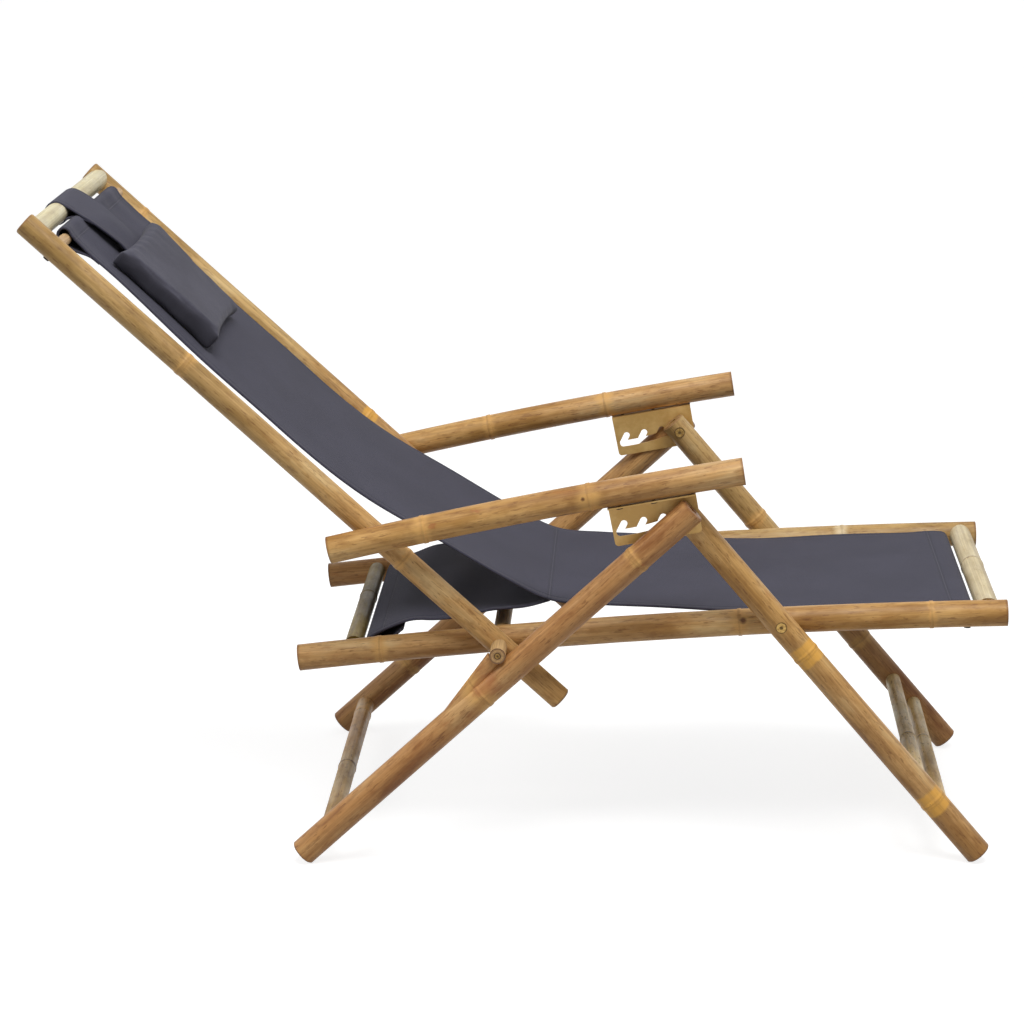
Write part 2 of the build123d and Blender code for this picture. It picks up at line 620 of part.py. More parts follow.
flange_top = -ARM_R - PLATE_GAP
slot_r = BOLT_R + SLOT_ROOM
arm_slope = arc_angle(ARM_REAR, ARM_MID, ARM_FRONT, PLATE_X)
bolt_path = [bolt_in_arm(step * (RECLINE + SLOT_PAST) / 2) for step in (0, 1, 2)]
path_rise = (bolt_path[2][1] - bolt_path[0][1]) / (bolt_path[2][0] - bolt_path[0][0])
lower_rear = PLATE_REAR + PLATE_SLANT
plate_corners = [(PLATE_REAR, 0), (lower_rear, -PLATE_DROP), (PLATE_FRONT, -PLATE_DROP), (PLATE_FRONT, 0)]
flange_corners = [(PLATE_REAR, 0), (PLATE_REAR, -PLATE_T), (PLATE_FRONT, -PLATE_T), (PLATE_FRONT, 0)]
for side, sign in SIDES.items():
    with BuildPart() as bracket:
        y = sign * (PLATE_Y - PLATE_T / 2)
        flat = Plane(origin=at((0, 0), y), x_dir=(1, 0, 0), z_dir=(0, sign, 0))
        flip = -sign
        with BuildSketch(flat) as outline:
            with BuildLine():
                places = [plate_place(u, flange_top + v) for u, v in plate_corners]
                Polyline(*[(x, flip * z) for x, z in places], close=True)
            make_face()
            lowest_first = outline.vertices().sort_by(Axis.Y, reverse=flip < 0)
            fillet(lowest_first[:2], PLATE_CORNER)
            with BuildLine(mode=Mode.PRIVATE) as track:
                ThreePointArc(*[(x, flip * z) for x, z in bolt_path])
            SlotArc(track.edge(), 2 * slot_r, mode=Mode.SUBTRACT)
            for step in range(1, NOTCHES + 1):
                top = turn(turn(LEG_PIVOT, arm_slope, -step * NOTCH_PITCH), arm_slope + 90, NOTCH_RISE)
                drop = top[1] - (bolt_path[0][1] + path_rise * (top[0] - BOLT_R - bolt_path[0][0]))
                middle = turn(top, NOTCH_TILT, -drop / 2)
                with Locations(Location((middle[0], flip * middle[1], 0), (0, 0, flip * NOTCH_TILT))):
                    SlotCenterToCenter(drop, 2 * slot_r, mode=Mode.SUBTRACT)
        extrude(outline.sketch, amount=PLATE_T, dir=(0, sign, 0))
        with BuildSketch(flat) as flange:
            with BuildLine():
                places = [plate_place(u, flange_top + v) for u, v in flange_corners]
                Polyline(*[(x, flip * z) for x, z in places], close=True)
            make_face()
        extrude(flange.sketch, amount=FLANGE_OUT, dir=(0, sign, 0))
        for along in BRACKET_SCREWS:
            low, high = plate_place(along, 2 * flange_top), plate_place(along, 0)
            rod(at(low, sign * ARM_Y), at(high, sign * ARM_Y), SCREW_R + 2 * SIDE_ROOM, Mode.SUBTRACT)
    keep(bracket.part, f"notched_bracket_{side}")

for side, sign in SIDES.items():
    with BuildPart() as bracket_screws:
        y = sign * ARM_Y
        under = flange_top - PLATE_T
        for along in BRACKET_SCREWS:
            head = at(plate_place(along, under - SCREW_HEAD_T), y)
            screw(head, at(plate_place(along, under), y), at(plate_place(along, arm_screw_tip), y))
    keep(bracket_screws.part, f"bracket_screws_{side}")

# Bolts
with BuildPart() as leg_top_bolts:
    for sign in SIDES.values():
        head = FRONT_LEG_Y - FRONT_LEG_R + LEG_BOLT_SINK - DEPTH_ROOM - BOLT_HEAD_T
        bolt(LEG_PIVOT, sign * head, sign * (REAR_LEG_Y - REAR_LEG_R + BOLT_BITE - DEPTH_ROOM))
keep(leg_top_bolts.part, "leg_top_bolts")

with BuildPart() as seat_bolts:
    for sign in SIDES.values():
        head = FRONT_LEG_Y + FRONT_LEG_R - SEAT_BOLT_SINK + BOLT_HEAD_T + SIDE_ROOM
        bolt(SEAT_PIVOT, sign * head, sign * (RAIL_Y + RAIL_R - SEAT_BOLT_BITE))
keep(seat_bolts.part, "seat_bolts")

with BuildPart() as armrest_bolts:
    for sign in SIDES.values():
        bolt(ARM_PIVOT, sign * (BACK_Y - BACK_R + HEAD_ROOM), sign * (ARM_Y - ARM_R + ARM_BOLT_BITE))
keep(armrest_bolts.part, "armrest_bolts")

with BuildPart() as armrest_washers:
    for sign in SIDES.values():
        low, high = sign * (BACK_Y + BACK_R + 2 * SIDE_ROOM), sign * (ARM_Y - ARM_R - 2 * SIDE_ROOM)
        rod(at(ARM_PIVOT, low), at(ARM_PIVOT, high), WASHER_R)
        rod(at(ARM_PIVOT, low - sign), at(ARM_PIVOT, high + sign), BOLT_R + HEAD_ROOM, Mode.SUBTRACT)
keep(armrest_washers.part, "armrest_washers")

# Sling
hem_front = ROD_R + HEM_GAP + SLING_T / 2
with BuildPart() as back_sling:
    hem(TOP_ROD, SLING_HALF)
    top = up_back(TOP_ROD_UP, TOP_ROD_FORWARD + hem_front)
    middles = [up_back(up, forward) for up, forward in zip(BACK_SLING_UP, BACK_SLING_FORWARD)]
    band([top, *middles, (SEAM[0] - SEAM_GAP, SEAM[1])], SLING_T, SLING_HALF)
    hem_bore(TOP_ROD, SLING_HALF)
keep(back_sling.part, "back_sling")

with BuildPart() as seat_sling:
    hem(FRONT_ROD, SLING_HALF)
    rear_edge = (SEAM[0] + SEAM_GAP, SEAM[1])
    front_edge = (FRONT_ROD[0], FRONT_ROD[1] + hem_front)
    places = zip(SEAT_SLING_SHARES, SEAT_SLING_RISE)
    middles = [between(rear_edge, front_edge, share, rise) for share, rise in places]
    band([rear_edge, *middles, front_edge], SLING_T, SLING_HALF)
    hem_bore(FRONT_ROD, SLING_HALF)
keep(seat_sling.part, "seat_sling")

with BuildPart() as sling_tail:
    hem(REAR_ROD, SLING_HALF)
    rear_edge = (REAR_ROD[0], REAR_ROD[1] + hem_front)
    middles = [between(rear_edge, SEAM, share, rise) for share, rise in zip(TAIL_SHARES, TAIL_RISE)]
    band([rear_edge, *middles], SLING_T, SLING_HALF)
    hem_bore(REAR_ROD, SLING_HALF)
keep(sling_tail.part, "sling_tail")

# Pillow, lying on the sling, with its strap round the top rail
sling_fall = (TOP_ROD_FORWARD + hem_front - BACK_SLING_FORWARD[1]) / (TOP_ROD_UP - BACK_SLING_UP[1])
pillow_lean = BACK_LEAN - 90 - degrees(atan2(sling_fall, 1))
pillow_up = (PILLOW_HIGH + PILLOW_LOW) / 2
sling_front = TOP_ROD_FORWARD + hem_front - sling_fall * (TOP_ROD_UP - pillow_up) + SLING_T / 2
pillow_base = up_back(pillow_up, sling_front + PILLOW_LIFT)


def pillow_place(along, up):
    """Place in the side plane, up the pillow from its middle and off its resting face."""
    return turn(turn(pillow_base, pillow_lean + 90, along), pillow_lean, up)


def pillow_block(inset):
    """Pillow with drawn-in sides and a crown both ways, added to the open part."""
    w, h, t = PILLOW_HALF - inset, (PILLOW_HIGH - PILLOW_LOW) / 2 - inset, PILLOW_T - 2 * inset
    low_dip, high_dip = PILLOW_EDGE_DIP
    lean = radians(pillow_lean)
    origin = at(pillow_place(0, inset), PILLOW_Y)
    plane = Plane(origin=origin, x_dir=(0, 1, 0), z_dir=(cos(lean), 0, sin(lean)))
    with BuildSketch(plane) as face:
        with BuildLine():
            ThreePointArc((-w, -h), (0, low_dip - h), (w, -h))
            ThreePointArc((w, -h), (w - PILLOW_WAIST, 0), (w, h))
            ThreePointArc((w, h), (0, h - high_dip), (-w, h))
            ThreePointArc((-w, h), (PILLOW_WAIST - w, 0), (-w, -h))
        make_face()
    extrude(face.sketch, amount=t)
    past = PILLOW_CROWN_PAST
    crowns = [
        (Plane(origin=origin, x_dir=plane.x_dir, z_dir=plane.y_dir * -1), w + past, h, 0),
        (Plane(origin=origin, x_dir=plane.y_dir, z_dir=plane.x_dir), h + past, w, 1),
    ]
    for crown_plane, half, reach, way in crowns:
        shoulder, peak = t * PILLOW_SHOULDER[way], t * PILLOW_PEAK[way]
        with BuildSketch(crown_plane) as crown:
            with BuildLine():
                Line((-half, 0), (half, 0))
                Line((half, 0), (half, shoulder))
                ThreePointArc((half, shoulder), (0, peak), (-half, shoulder))
                Line((-half, shoulder), (-half, 0))
            make_face()
        extrude(crown.sketch, amount=2 * reach, both=True, mode=Mode.INTERSECT)


with BuildPart() as pillow_hollow:
    pillow_block(COVER_T)

with BuildPart() as pillow_cover:
    pillow_block(0)
    add(pillow_hollow.part, mode=Mode.SUBTRACT)
keep(pillow_cover.part, "pillow_cover")

with BuildPart() as pillow_filling:
    pillow_block(COVER_T + FILL_ROOM)
keep(pillow_filling.part, "pillow_filling")

with BuildPart() as pillow_strap:
    ring = TOP_RAIL_R + STRAP_ROOM
    strap_from, strap_to = PILLOW_Y - STRAP_HALF, PILLOW_Y + STRAP_HALF
    rod(at(TOP_RAIL, strap_from), at(TOP_RAIL, strap_to), ring + STRAP_T)
    start = up_back(TOP_RAIL_UP, TOP_RAIL_FORWARD + ring + STRAP_T / 2)
    edge = (PILLOW_HIGH - PILLOW_LOW) / 2 - PILLOW_EDGE_DIP[1] * (1 - (STRAP_HALF / PILLOW_HALF) ** 2)
    end = pillow_place(edge + PILLOW_LIFT, PILLOW_T / 2)
    band([start, up_back(STRAP_BULGE_UP, STRAP_BULGE_FORWARD), end], STRAP_T, STRAP_HALF, PILLOW_Y)
    rod(at(TOP_RAIL, strap_from - 1), at(TOP_RAIL, strap_to + 1), ring, Mode.SUBTRACT)
keep(pillow_strap.part, "pillow_strap")
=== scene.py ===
# %% [markdown]
# A bamboo reclining chair, dressed over its CAD frame.
# The frame already has every culm, bracket, bolt and joint at its real size. This lesson loads it,
# gives each culm its own skin, and then models the soft goods: the sling, its tail, the head
# pillow and the strap. Everything is in metres, in the frame's own axes: X to the foot end, Z up.

# %% Load the frame
import math

import bpy
import numpy as np
from mathutils import Matrix, Vector


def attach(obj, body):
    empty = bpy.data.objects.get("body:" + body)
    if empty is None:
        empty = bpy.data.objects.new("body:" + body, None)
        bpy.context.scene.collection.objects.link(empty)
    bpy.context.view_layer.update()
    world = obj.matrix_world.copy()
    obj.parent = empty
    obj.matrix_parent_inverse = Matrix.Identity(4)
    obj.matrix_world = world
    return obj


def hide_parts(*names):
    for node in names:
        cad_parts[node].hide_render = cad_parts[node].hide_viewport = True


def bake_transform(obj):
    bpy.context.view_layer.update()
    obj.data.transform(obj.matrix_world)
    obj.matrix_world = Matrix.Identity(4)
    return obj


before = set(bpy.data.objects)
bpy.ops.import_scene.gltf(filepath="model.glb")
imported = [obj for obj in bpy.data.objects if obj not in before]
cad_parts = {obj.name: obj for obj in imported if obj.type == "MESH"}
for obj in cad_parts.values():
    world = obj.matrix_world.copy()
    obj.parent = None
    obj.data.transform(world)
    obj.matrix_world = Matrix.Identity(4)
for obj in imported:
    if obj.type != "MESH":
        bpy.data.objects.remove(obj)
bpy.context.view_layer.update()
bpy.ops.object.select_all(action="DESELECT")
print("nodes in the frame:", len(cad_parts))


# %% [markdown]
# Colours are given as screen values from 0 to 255. Blender's sockets want light values, so
# one small function turns the first into the second. A second one makes shader nodes, because a
# finish is a dozen of them wired together: it makes the node, sets what is a number and links what
# is a socket.

# %% Small helpers for finishes
def paint(red, green, blue):
    """A screen colour as the light values that a socket wants."""
    values = []
    for part in (red, green, blue):
        part = part / 255
        values.append(part / 12.92 if part <= 0.04045 else ((part + 0.055) / 1.055) ** 2.4)
    return (*values, 1.0)


def put(tree, kind, settings=None, **inputs):
    """A shader node with its settings made and its inputs set or linked."""
    made = tree.nodes.new(kind)
    for name, value in (settings or {}).items():
        setattr(made, name, value)
    for name, value in inputs.items():
        numbered = name[0] == "i" and name[1:].isdigit()
        socket = made.inputs[int(name[1:]) if numbered else name]
        if isinstance(value, bpy.types.NodeSocket):
            tree.links.new(value, socket)
        else:
            socket.default_value = value
    return made


def sums(tree, operation, first, second=0.0, third=0.0):
    """The result of one math node."""
    made = put(tree, "ShaderNodeMath", {"operation": operation}, i0=first, i1=second, i2=third)
    return made.outputs[0]


def ramp_to(tree, value, low, high, to_low=0.0, to_high=1.0):
    """A value brought smoothly from one range to another, held at its ends."""
    made = put(tree, "ShaderNodeMapRange", {"interpolation_type": "SMOOTHSTEP"},
               i0=value, i1=low, i2=high, i3=to_low, i4=to_high)
    return made.outputs[0]


def mixed(tree, factor, first, second, how="MIX"):
    """Two colours mixed by a factor."""
    made = put(tree, "ShaderNodeMix", {"data_type": "RGBA", "blend_type": how})
    for socket, value in ((made.inputs[0], factor), (made.inputs[6], first), (made.inputs[7], second)):
        if isinstance(value, bpy.types.NodeSocket):
            tree.links.new(value, socket)
        else:
            socket.default_value = value
    return made.outputs[2]


def stained(tree, colour, pattern, span, amount, tone, how="MIX"):
    """A colour with a tone laid over it, by an amount that changes over a span of the pattern."""
    return mixed(tree, ramp_to(tree, pattern, *span, *amount), colour, tone, how)


def noise(tree, vector, scale, detail=3.0, rough=0.5):
    """The grey of a noise texture."""
    made = put(tree, "ShaderNodeTexNoise", Vector=vector, Scale=scale, Detail=detail, Roughness=rough)
    return made.outputs[0]


def stretched(tree, vector, x, y, z):
    """Coordinates stretched along each axis."""
    made = put(tree, "ShaderNodeVectorMath", {"operation": "MULTIPLY"}, i0=vector, i1=(x, y, z))
    return made.outputs[0]


def away_from(tree, vector, place):
    """How far the coordinates are from a place."""
    made = put(tree, "ShaderNodeVectorMath", {"operation": "DISTANCE"}, i0=vector, i1=place)
    return made.outputs["Value"]


def number_of(tree, vector, axis):
    """One of the three numbers of a vector."""
    return put(tree, "ShaderNodeSeparateXYZ", i0=vector).outputs[axis]


def relief(tree, shader, height, strength, distance):
    """A fine relief on the surface, from a height."""
    bump = put(tree, "ShaderNodeBump", Height=height, Strength=strength, Distance=distance)
    tree.links.new(bump.outputs[0], shader.inputs["Normal"])


def start_finish(name):
    """An empty finish: its material, node tree and principled shader."""
    material = bpy.data.materials.new(name)
    material.use_nodes = True
    tree = material.node_tree
    return material, tree, tree.nodes["Principled BSDF"]


def dress(node, material):
    """Gives a CAD node its finish."""
    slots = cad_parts[node].material_slots
    for slot in slots:
        slot.material = material
    if not slots:
        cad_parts[node].data.materials.append(material)


print("helpers ready")

# %% [markdown]
# The skin of a bamboo culm runs along it: long pale and dark fibres, broad patches where the sun
# bleached it or the fire that bent it scorched it, and a warm band with a fine dark line at each
# node. So each culm's finish first turns the coordinates to lie along that culm. A mapping node
# does this, with the culm's foot at zero and its length along X. Then every pattern is a noise
# stretched along X, and a node is simply a place on X.

# %% The bamboo skin
SKINS = {
    "tan": (paint(176, 130, 74), paint(209, 164, 105), paint(227, 194, 141), paint(176, 116, 64)),
    "gold": (paint(183, 137, 74), paint(213, 168, 103), paint(231, 197, 140), paint(182, 122, 64)),
    "cream": (paint(208, 197, 156), paint(228, 219, 180), paint(240, 233, 202), paint(204, 178, 134)),
    "pale": (paint(202, 184, 140), paint(222, 206, 164), paint(234, 222, 186), paint(198, 164, 116)),
    "grey": (paint(200, 164, 100), paint(238, 204, 136), paint(246, 224, 166), paint(182, 134, 80)),
    "moss": (paint(102, 86, 38), paint(140, 118, 50), paint(166, 144, 72), paint(104, 76, 34)),
    "straw": (paint(174, 140, 82), paint(204, 168, 108), paint(222, 194, 140), paint(170, 118, 66)),
    "red": (paint(164, 110, 61), paint(201, 150, 93), paint(217, 174, 117), paint(158, 94, 51)),
}
NODE_BAND = {"warm": paint(214, 166, 98), "yellow": paint(230, 172, 76), "pale": paint(228, 208, 168),
             "ring": paint(112, 80, 50)}
SCAR = paint(104, 64, 36)
KNOT = {"dark": paint(86, 48, 26), "red": paint(156, 88, 50)}
KNOT_DEPTH = {"dark": 0.9, "red": 0.5}


def bamboo(name, foot, top, skin, far_skin=None, bands=(), knots=(), seed=0.0):
    """The finish of one culm; bands are (share, colour, half width), knots (place, radius, colour)."""
    marked = 0.35 if skin in ("pale", "cream") else 1.0
    material, tree, shader = start_finish(name)
    foot, top = Vector(foot), Vector(top)
    along = (top - foot).normalized()
    side = along.orthogonal().normalized()
    turn = Matrix((along, side, along.cross(side)))
    length = (top - foot).length
    where = put(tree, "ShaderNodeTexCoord").outputs["Object"]
    laid = put(tree, "ShaderNodeMapping", Vector=where)
    laid.inputs["Rotation"].default_value = turn.to_euler("XYZ")
    laid.inputs["Location"].default_value = turn @ (-foot) + Vector((seed, 0, 0))
    culm = laid.outputs[0]
    reach = sums(tree, "SUBTRACT", number_of(tree, culm, 0), seed)

    fibre = noise(tree, stretched(tree, culm, 5, 420, 420), 1.0, 4.0, 0.6)
    streak = noise(tree, stretched(tree, culm, 2.2, 90, 90), 1.0, 3.0, 0.55)
    patch = noise(tree, stretched(tree, culm, 7, 26, 26), 1.0, 4.0, 0.6)
    scorch = noise(tree, stretched(tree, culm, 17, 52, 52), 1.0, 5.0, 0.65)
    fleck = noise(tree, stretched(tree, culm, 60, 330, 330), 1.0, 2.0, 0.5)
    stroke = noise(tree, stretched(tree, culm, 34, 210, 210), 1.0, 4.0, 0.62)
    mottle = noise(tree, stretched(tree, culm, 48, 110, 110), 1.0, 3.0, 0.6)

    def skin_colour(tones):
        dark, middle, light, burnt = tones
        colour = stained(tree, dark, patch, (0.34, 0.52), (0.0, 1.0), middle)
        colour = stained(tree, colour, patch, (0.5, 0.72), (0.0, 1.0), light)
        return stained(tree, colour, scorch, (0.56, 0.74), (0.0, 0.5), burnt)

    colour = skin_colour(SKINS[skin])
    if far_skin:
        change = sums(tree, "ADD", reach, sums(tree, "MULTIPLY_ADD", patch, 0.24, -0.12))
        share = ramp_to(tree, change, 0.34 * length, 0.66 * length)
        colour = mixed(tree, share, colour, skin_colour(SKINS[far_skin]))
    shades = [(streak, (0.32, 0.7), (0.28, 0.0), paint(132, 94, 56)),
              (fibre, (0.36, 0.66), (0.24, 0.0), paint(124, 88, 52)),
              (mottle, (0.5, 0.68), (0.0, 0.24 * marked), paint(150, 108, 66))]
    for pattern, span, amount, tone in shades:
        colour = stained(tree, colour, pattern, span, amount, tone, "MULTIPLY")
    colour = stained(tree, colour, stroke, (0.59, 0.66), (0.0, 0.38 * marked), SCAR)
    colour = stained(tree, colour, fleck, (0.63, 0.69), (0.0, 0.5 * marked), SCAR)

    height = sums(tree, "MULTIPLY_ADD", fibre, 0.5, sums(tree, "MULTIPLY", streak, 0.7))
    for share, tone, half in bands:
        off = sums(tree, "ABSOLUTE", sums(tree, "SUBTRACT", reach, share * length))
        soft = 0.3 if tone == "yellow" else 1.0
        ragged = sums(tree, "ADD", off, sums(tree, "MULTIPLY_ADD", scorch, 0.03 * soft, -0.015 * soft))
        glow = ramp_to(tree, ragged, half * (1 - 0.7 * soft), half * (1 + 0.3 * soft), 0.78, 0.0)
        glow = sums(tree, "MULTIPLY", glow, ramp_to(tree, streak, 0.32, 0.58, 0.55, 1.0))
        colour = mixed(tree, glow, colour, NODE_BAND[tone])
        wavy = sums(tree, "ADD", off, sums(tree, "MULTIPLY_ADD", streak, 0.004, -0.002))
        line = ramp_to(tree, wavy, 0.0006, 0.0022, 0.42, 0.0)
        colour = mixed(tree, sums(tree, "MULTIPLY", line, patch), colour, SCAR)
        height = sums(tree, "SUBTRACT", height, sums(tree, "MULTIPLY", line, 1.6))
    for place, radius, tone in knots:
        depth = KNOT_DEPTH[tone]
        gap = sums(tree, "MULTIPLY_ADD", fleck, 0.004, away_from(tree, where, place))
        if tone == "red":
            gap = sums(tree, "ADD", gap, sums(tree, "MULTIPLY_ADD", scorch, 0.06, -0.03))
        colour = stained(tree, colour, gap, (radius * 0.65, radius * 1.4), (depth, 0.0), KNOT[tone])
        dent = ramp_to(tree, gap, radius * 0.3, radius * 1.3, 1.3 * depth, 0.0)
        height = sums(tree, "SUBTRACT", height, dent)
    ends = sums(tree, "MINIMUM", reach, sums(tree, "SUBTRACT", length, reach))
    colour = stained(tree, colour, ends, (0.0004, 0.004), (0.62, 0.0), paint(112, 72, 42))

    tree.links.new(colour, shader.inputs["Base Color"])
    shine = ramp_to(tree, scorch, 0.3, 0.7, 0.36, 0.55)
    tree.links.new(shine, shader.inputs["Roughness"])
    shader.inputs["Specular IOR Level"].default_value = 0.28
    relief(tree, shader, height, 0.32, 0.0009)
    return material


print("skins:", ", ".join(SKINS))

# %% [markdown]
# Now every culm gets its own skin. The two sides of the chair aren't twins: the near front leg has
# two yellow nodes, the near seat rail a dark knot, and the other three legs are reddish towards the
# floor. The table below holds, for each culm, its two ends in the side plane, its place across the
# chair, the skin at its foot and at its top, its nodes as bands and its knots. The last number
# moves the noise, so that no two culms are alike.

# %% Dress the culms
BACK_Y, RAIL_Y, FRONT_LEG_Y, REAR_LEG_Y, ARM_Y = 0.2575, 0.223, 0.2595, 0.299, 0.2958
BACK = ((0.059, 0.2224), (-0.6512, 0.8687))
SEAT = ((-0.3001, 0.267), (0.6599, 0.341))
ARM = ((-0.2501, 0.437), (0.2999, 0.55))
FRONT_LEG = ((0.6291, 0.0106), (0.2098, 0.4989))
REAR_LEG = ((-0.2915, 0.0124), (0.2334, 0.4975))
culms = [
    ("back_pole_right", BACK, -BACK_Y, "gold", "straw",
     [(0.3, "warm", 0.006), (0.708, "warm", 0.012)], [], 0.0),
    ("back_pole_left", BACK, BACK_Y, "tan", "straw",
     [(0.43, "yellow", 0.013), (0.895, "warm", 0.01)], [], 3.1),
    ("seat_rail_right", SEAT, -RAIL_Y, "tan", "gold",
     [(0.117, "warm", 0.013), (0.625, "warm", 0.014), (0.894, "warm", 0.005)],
     [((0.304, -0.2405, 0.331), 0.0062, "dark")], 6.4),
    ("seat_rail_left", SEAT, RAIL_Y, "red", "straw",
     [(0.234, "pale", 0.008), (0.796, "pale", 0.011)], [], 9.2),
    ("armrest_right", ARM, -ARM_Y, "gold", "tan", [(0.231, "warm", 0.012), (0.63, "warm", 0.016)],
     [((0.0879, -0.3135, 0.5145), 0.004, "dark"), ((-0.052, -0.3138, 0.4952), 0.006, "red"),
      ((-0.112, -0.3138, 0.477), 0.007, "red"), ((0.197, -0.3138, 0.5352), 0.0026, "dark")], 12.7),
    ("armrest_left", ARM, ARM_Y, "gold", "tan",
     [(0.34, "warm", 0.009), (0.656, "warm", 0.012)], [], 15.3),
    ("front_leg_right", FRONT_LEG, -FRONT_LEG_Y, "tan", "gold",
     [(0.155, "yellow", 0.017), (0.575, "yellow", 0.016)],
     [((0.5601, -0.277, 0.0858), 0.0026, "dark"), ((0.354, -0.2775, 0.331), 0.0075, "dark")], 18.8),
    ("front_leg_left", FRONT_LEG, FRONT_LEG_Y, "red", "straw",
     [(0.32, "warm", 0.01), (0.7, "warm", 0.01)], [], 21.5),
    ("rear_leg_right", REAR_LEG, -REAR_LEG_Y, "red", "red",
     [(0.47, "warm", 0.02), (0.86, "warm", 0.008)],
     [((-0.042, -0.316, 0.259), 0.02, "red")], 24.1),
    ("rear_leg_left", REAR_LEG, REAR_LEG_Y, "red", "tan",
     [(0.2, "warm", 0.009), (0.6, "warm", 0.009)], [], 27.9),
]
for node, (low, high), y, skin, far_skin, bands, knots, seed in culms:
    finish = bamboo(f"{node}_skin", (low[0], y, low[1]), (high[0], y, high[1]),
                    skin, far_skin, bands, knots, seed)
    dress(node, finish)

bars = [
    ("top_rail", (-0.637, 0.8572), 0.2595, "cream", "cream", [], 31.0),
    ("front_crossbar", (0.6359, 0.3423), 0.229, "pale", "pale", [(0.54, "ring", 0.0016)], 34.2),
    ("rear_crossbar", (-0.2271, 0.2808), 0.229, "moss", "moss", [(0.6, "ring", 0.0016)], 37.7),
    ("front_stretcher_upper", (0.5463, 0.107), 0.2655, "grey", "grey", [(0.4, "ring", 0.0016)], 40.6),
    ("front_stretcher_lower", (0.5772, 0.071), 0.2655, "grey", "grey", [(0.6, "ring", 0.0016)], 43.3),
    ("rear_stretcher", (-0.254, 0.047), 0.305, "straw", "tan",
     [(0.45, "ring", 0.0016), (0.88, "warm", 0.005)], 46.9),
]
for node, (x, z), half, skin, far_skin, bands, seed in bars:
    finish = bamboo(f"{node}_skin", (x, -half, z), (x, half, z), skin, far_skin, bands, (), seed)
    dress(node, finish)
print("culms dressed:", len(culms) + len(bars))

# %% [markdown]
# The dowel and the sling rods are turned wood, not bamboo: their ends show growth rings round the
# heart, and the long side shows fine grain. Rings are a wave texture in its ring form, centred by a
# mapping node on the rod's own axis.

# %% Turned wood for the dowel and rods
def turned_wood(name, x, z, light, dark):
    """The finish of a wooden rod that lies across the chair at X and Z."""
    material, tree, shader = start_finish(name)
    where = put(tree, "ShaderNodeTexCoord").outputs["Object"]
    centred = put(tree, "ShaderNodeMapping", Vector=where)
    centred.inputs["Location"].default_value = (-x, 0, -z)
    wobble = stretched(tree, centred.outputs[0], 1, 0.05, 1)
    rings = put(tree, "ShaderNodeTexWave", {"wave_type": "RINGS", "rings_direction": "Y"},
                Vector=wobble, Scale=170.0, Distortion=1.6, Detail=2.0)
    grain = noise(tree, stretched(tree, centred.outputs[0], 500, 14, 500), 1.0, 3.0, 0.6)
    colour = stained(tree, light, rings.outputs["Fac"], (0.2, 0.9), (0.0, 1.0), dark)
    colour = stained(tree, colour, grain, (0.35, 0.7), (0.45, 0.0), paint(120, 84, 50), "MULTIPLY")
    facing = put(tree, "ShaderNodeTexCoord").outputs["Normal"]
    end = ramp_to(tree, sums(tree, "ABSOLUTE", number_of(tree, facing, 1)), 0.5, 0.9)
    out = away_from(tree, stretched(tree, centred.outputs[0], 1, 0, 1), (0, 0, 0))
    rim = sums(tree, "MULTIPLY", end, ramp_to(tree, out, 0.0082, 0.0098, 0.0, 0.8))
    heart = sums(tree, "MULTIPLY", end, ramp_to(tree, out, 0.0044, 0.006, 0.75, 0.0))
    colour = mixed(tree, sums(tree, "MAXIMUM", rim, heart), colour, paint(96, 62, 34))
    tree.links.new(colour, shader.inputs["Base Color"])
    tree.links.new(ramp_to(tree, grain, 0.3, 0.7, 0.5, 0.64), shader.inputs["Roughness"])
    relief(tree, shader, grain, 0.25, 0.0005)
    return material


rods = {
    "pivot_dowel": (-0.0246, 0.2985, paint(206, 170, 116), paint(172, 126, 76)),
    "upper_sling_rod": (-0.6078, 0.8373, paint(230, 204, 160), paint(208, 174, 128)),
    "front_sling_rod": (0.6069, 0.3393, paint(214, 180, 132), paint(186, 146, 98)),
    "rear_sling_rod": (-0.2011, 0.2829, paint(206, 170, 120), paint(178, 136, 88)),
}
for node, (x, z, light, dark) in rods.items():
    dress(node, turned_wood(f"{node}_wood", x, z, light, dark))
print("rods dressed:", len(rods))

# %% [markdown]
# The brackets are sheet steel with a gold-khaki lacquer, rubbed bright in places. The bolts are
# plated to look like brass, and the small screws are blackened. All three are the same idea: a
# metal whose colour and polish change over the surface by a cloudy noise, with fine scratches.

# %% Metal finishes
def metal(name, colour, worn, metallic, low, high, cloud=60.0, bolt=None):
    """A plated or lacquered metal with cloudy wear and fine scratches; bolt is (x, z, head radius) of
    a head with a dark ring near its rim and painted shade in its middle, where the recess is.
    """
    material, tree, shader = start_finish(name)
    where = put(tree, "ShaderNodeTexCoord").outputs["Object"]
    clouds = noise(tree, where, cloud, 5.0, 0.62)
    scratch = noise(tree, stretched(tree, where, 90, 500, 1400), 1.0, 2.0, 0.5)
    tone = stained(tree, colour, clouds, (0.4, 0.68), (0.0, 1.0), worn)
    tone = stained(tree, tone, scratch, (0.62, 0.78), (0.0, 0.35), worn)
    if bolt:
        x, z, radius = bolt
        out = away_from(tree, stretched(tree, where, 1, 0, 1), (x, 0, z))
        # A dark ring near the head's rim, and painted shade in the middle of the head, where its
        # recess is.
        rim = ramp_to(tree, out, radius * 0.74, radius * 0.92, 0.0, 0.9)
        middle = ramp_to(tree, out, radius * 0.2, radius * 0.42, 0.75, 0.0)
        tone = mixed(tree, sums(tree, "MAXIMUM", rim, middle), tone, paint(58, 42, 26))
    tree.links.new(tone, shader.inputs["Base Color"])
    shader.inputs["Metallic"].default_value = metallic
    tree.links.new(ramp_to(tree, clouds, 0.3, 0.7, low, high), shader.inputs["Roughness"])
    relief(tree, shader, scratch, 0.12, 0.0003)
    return material


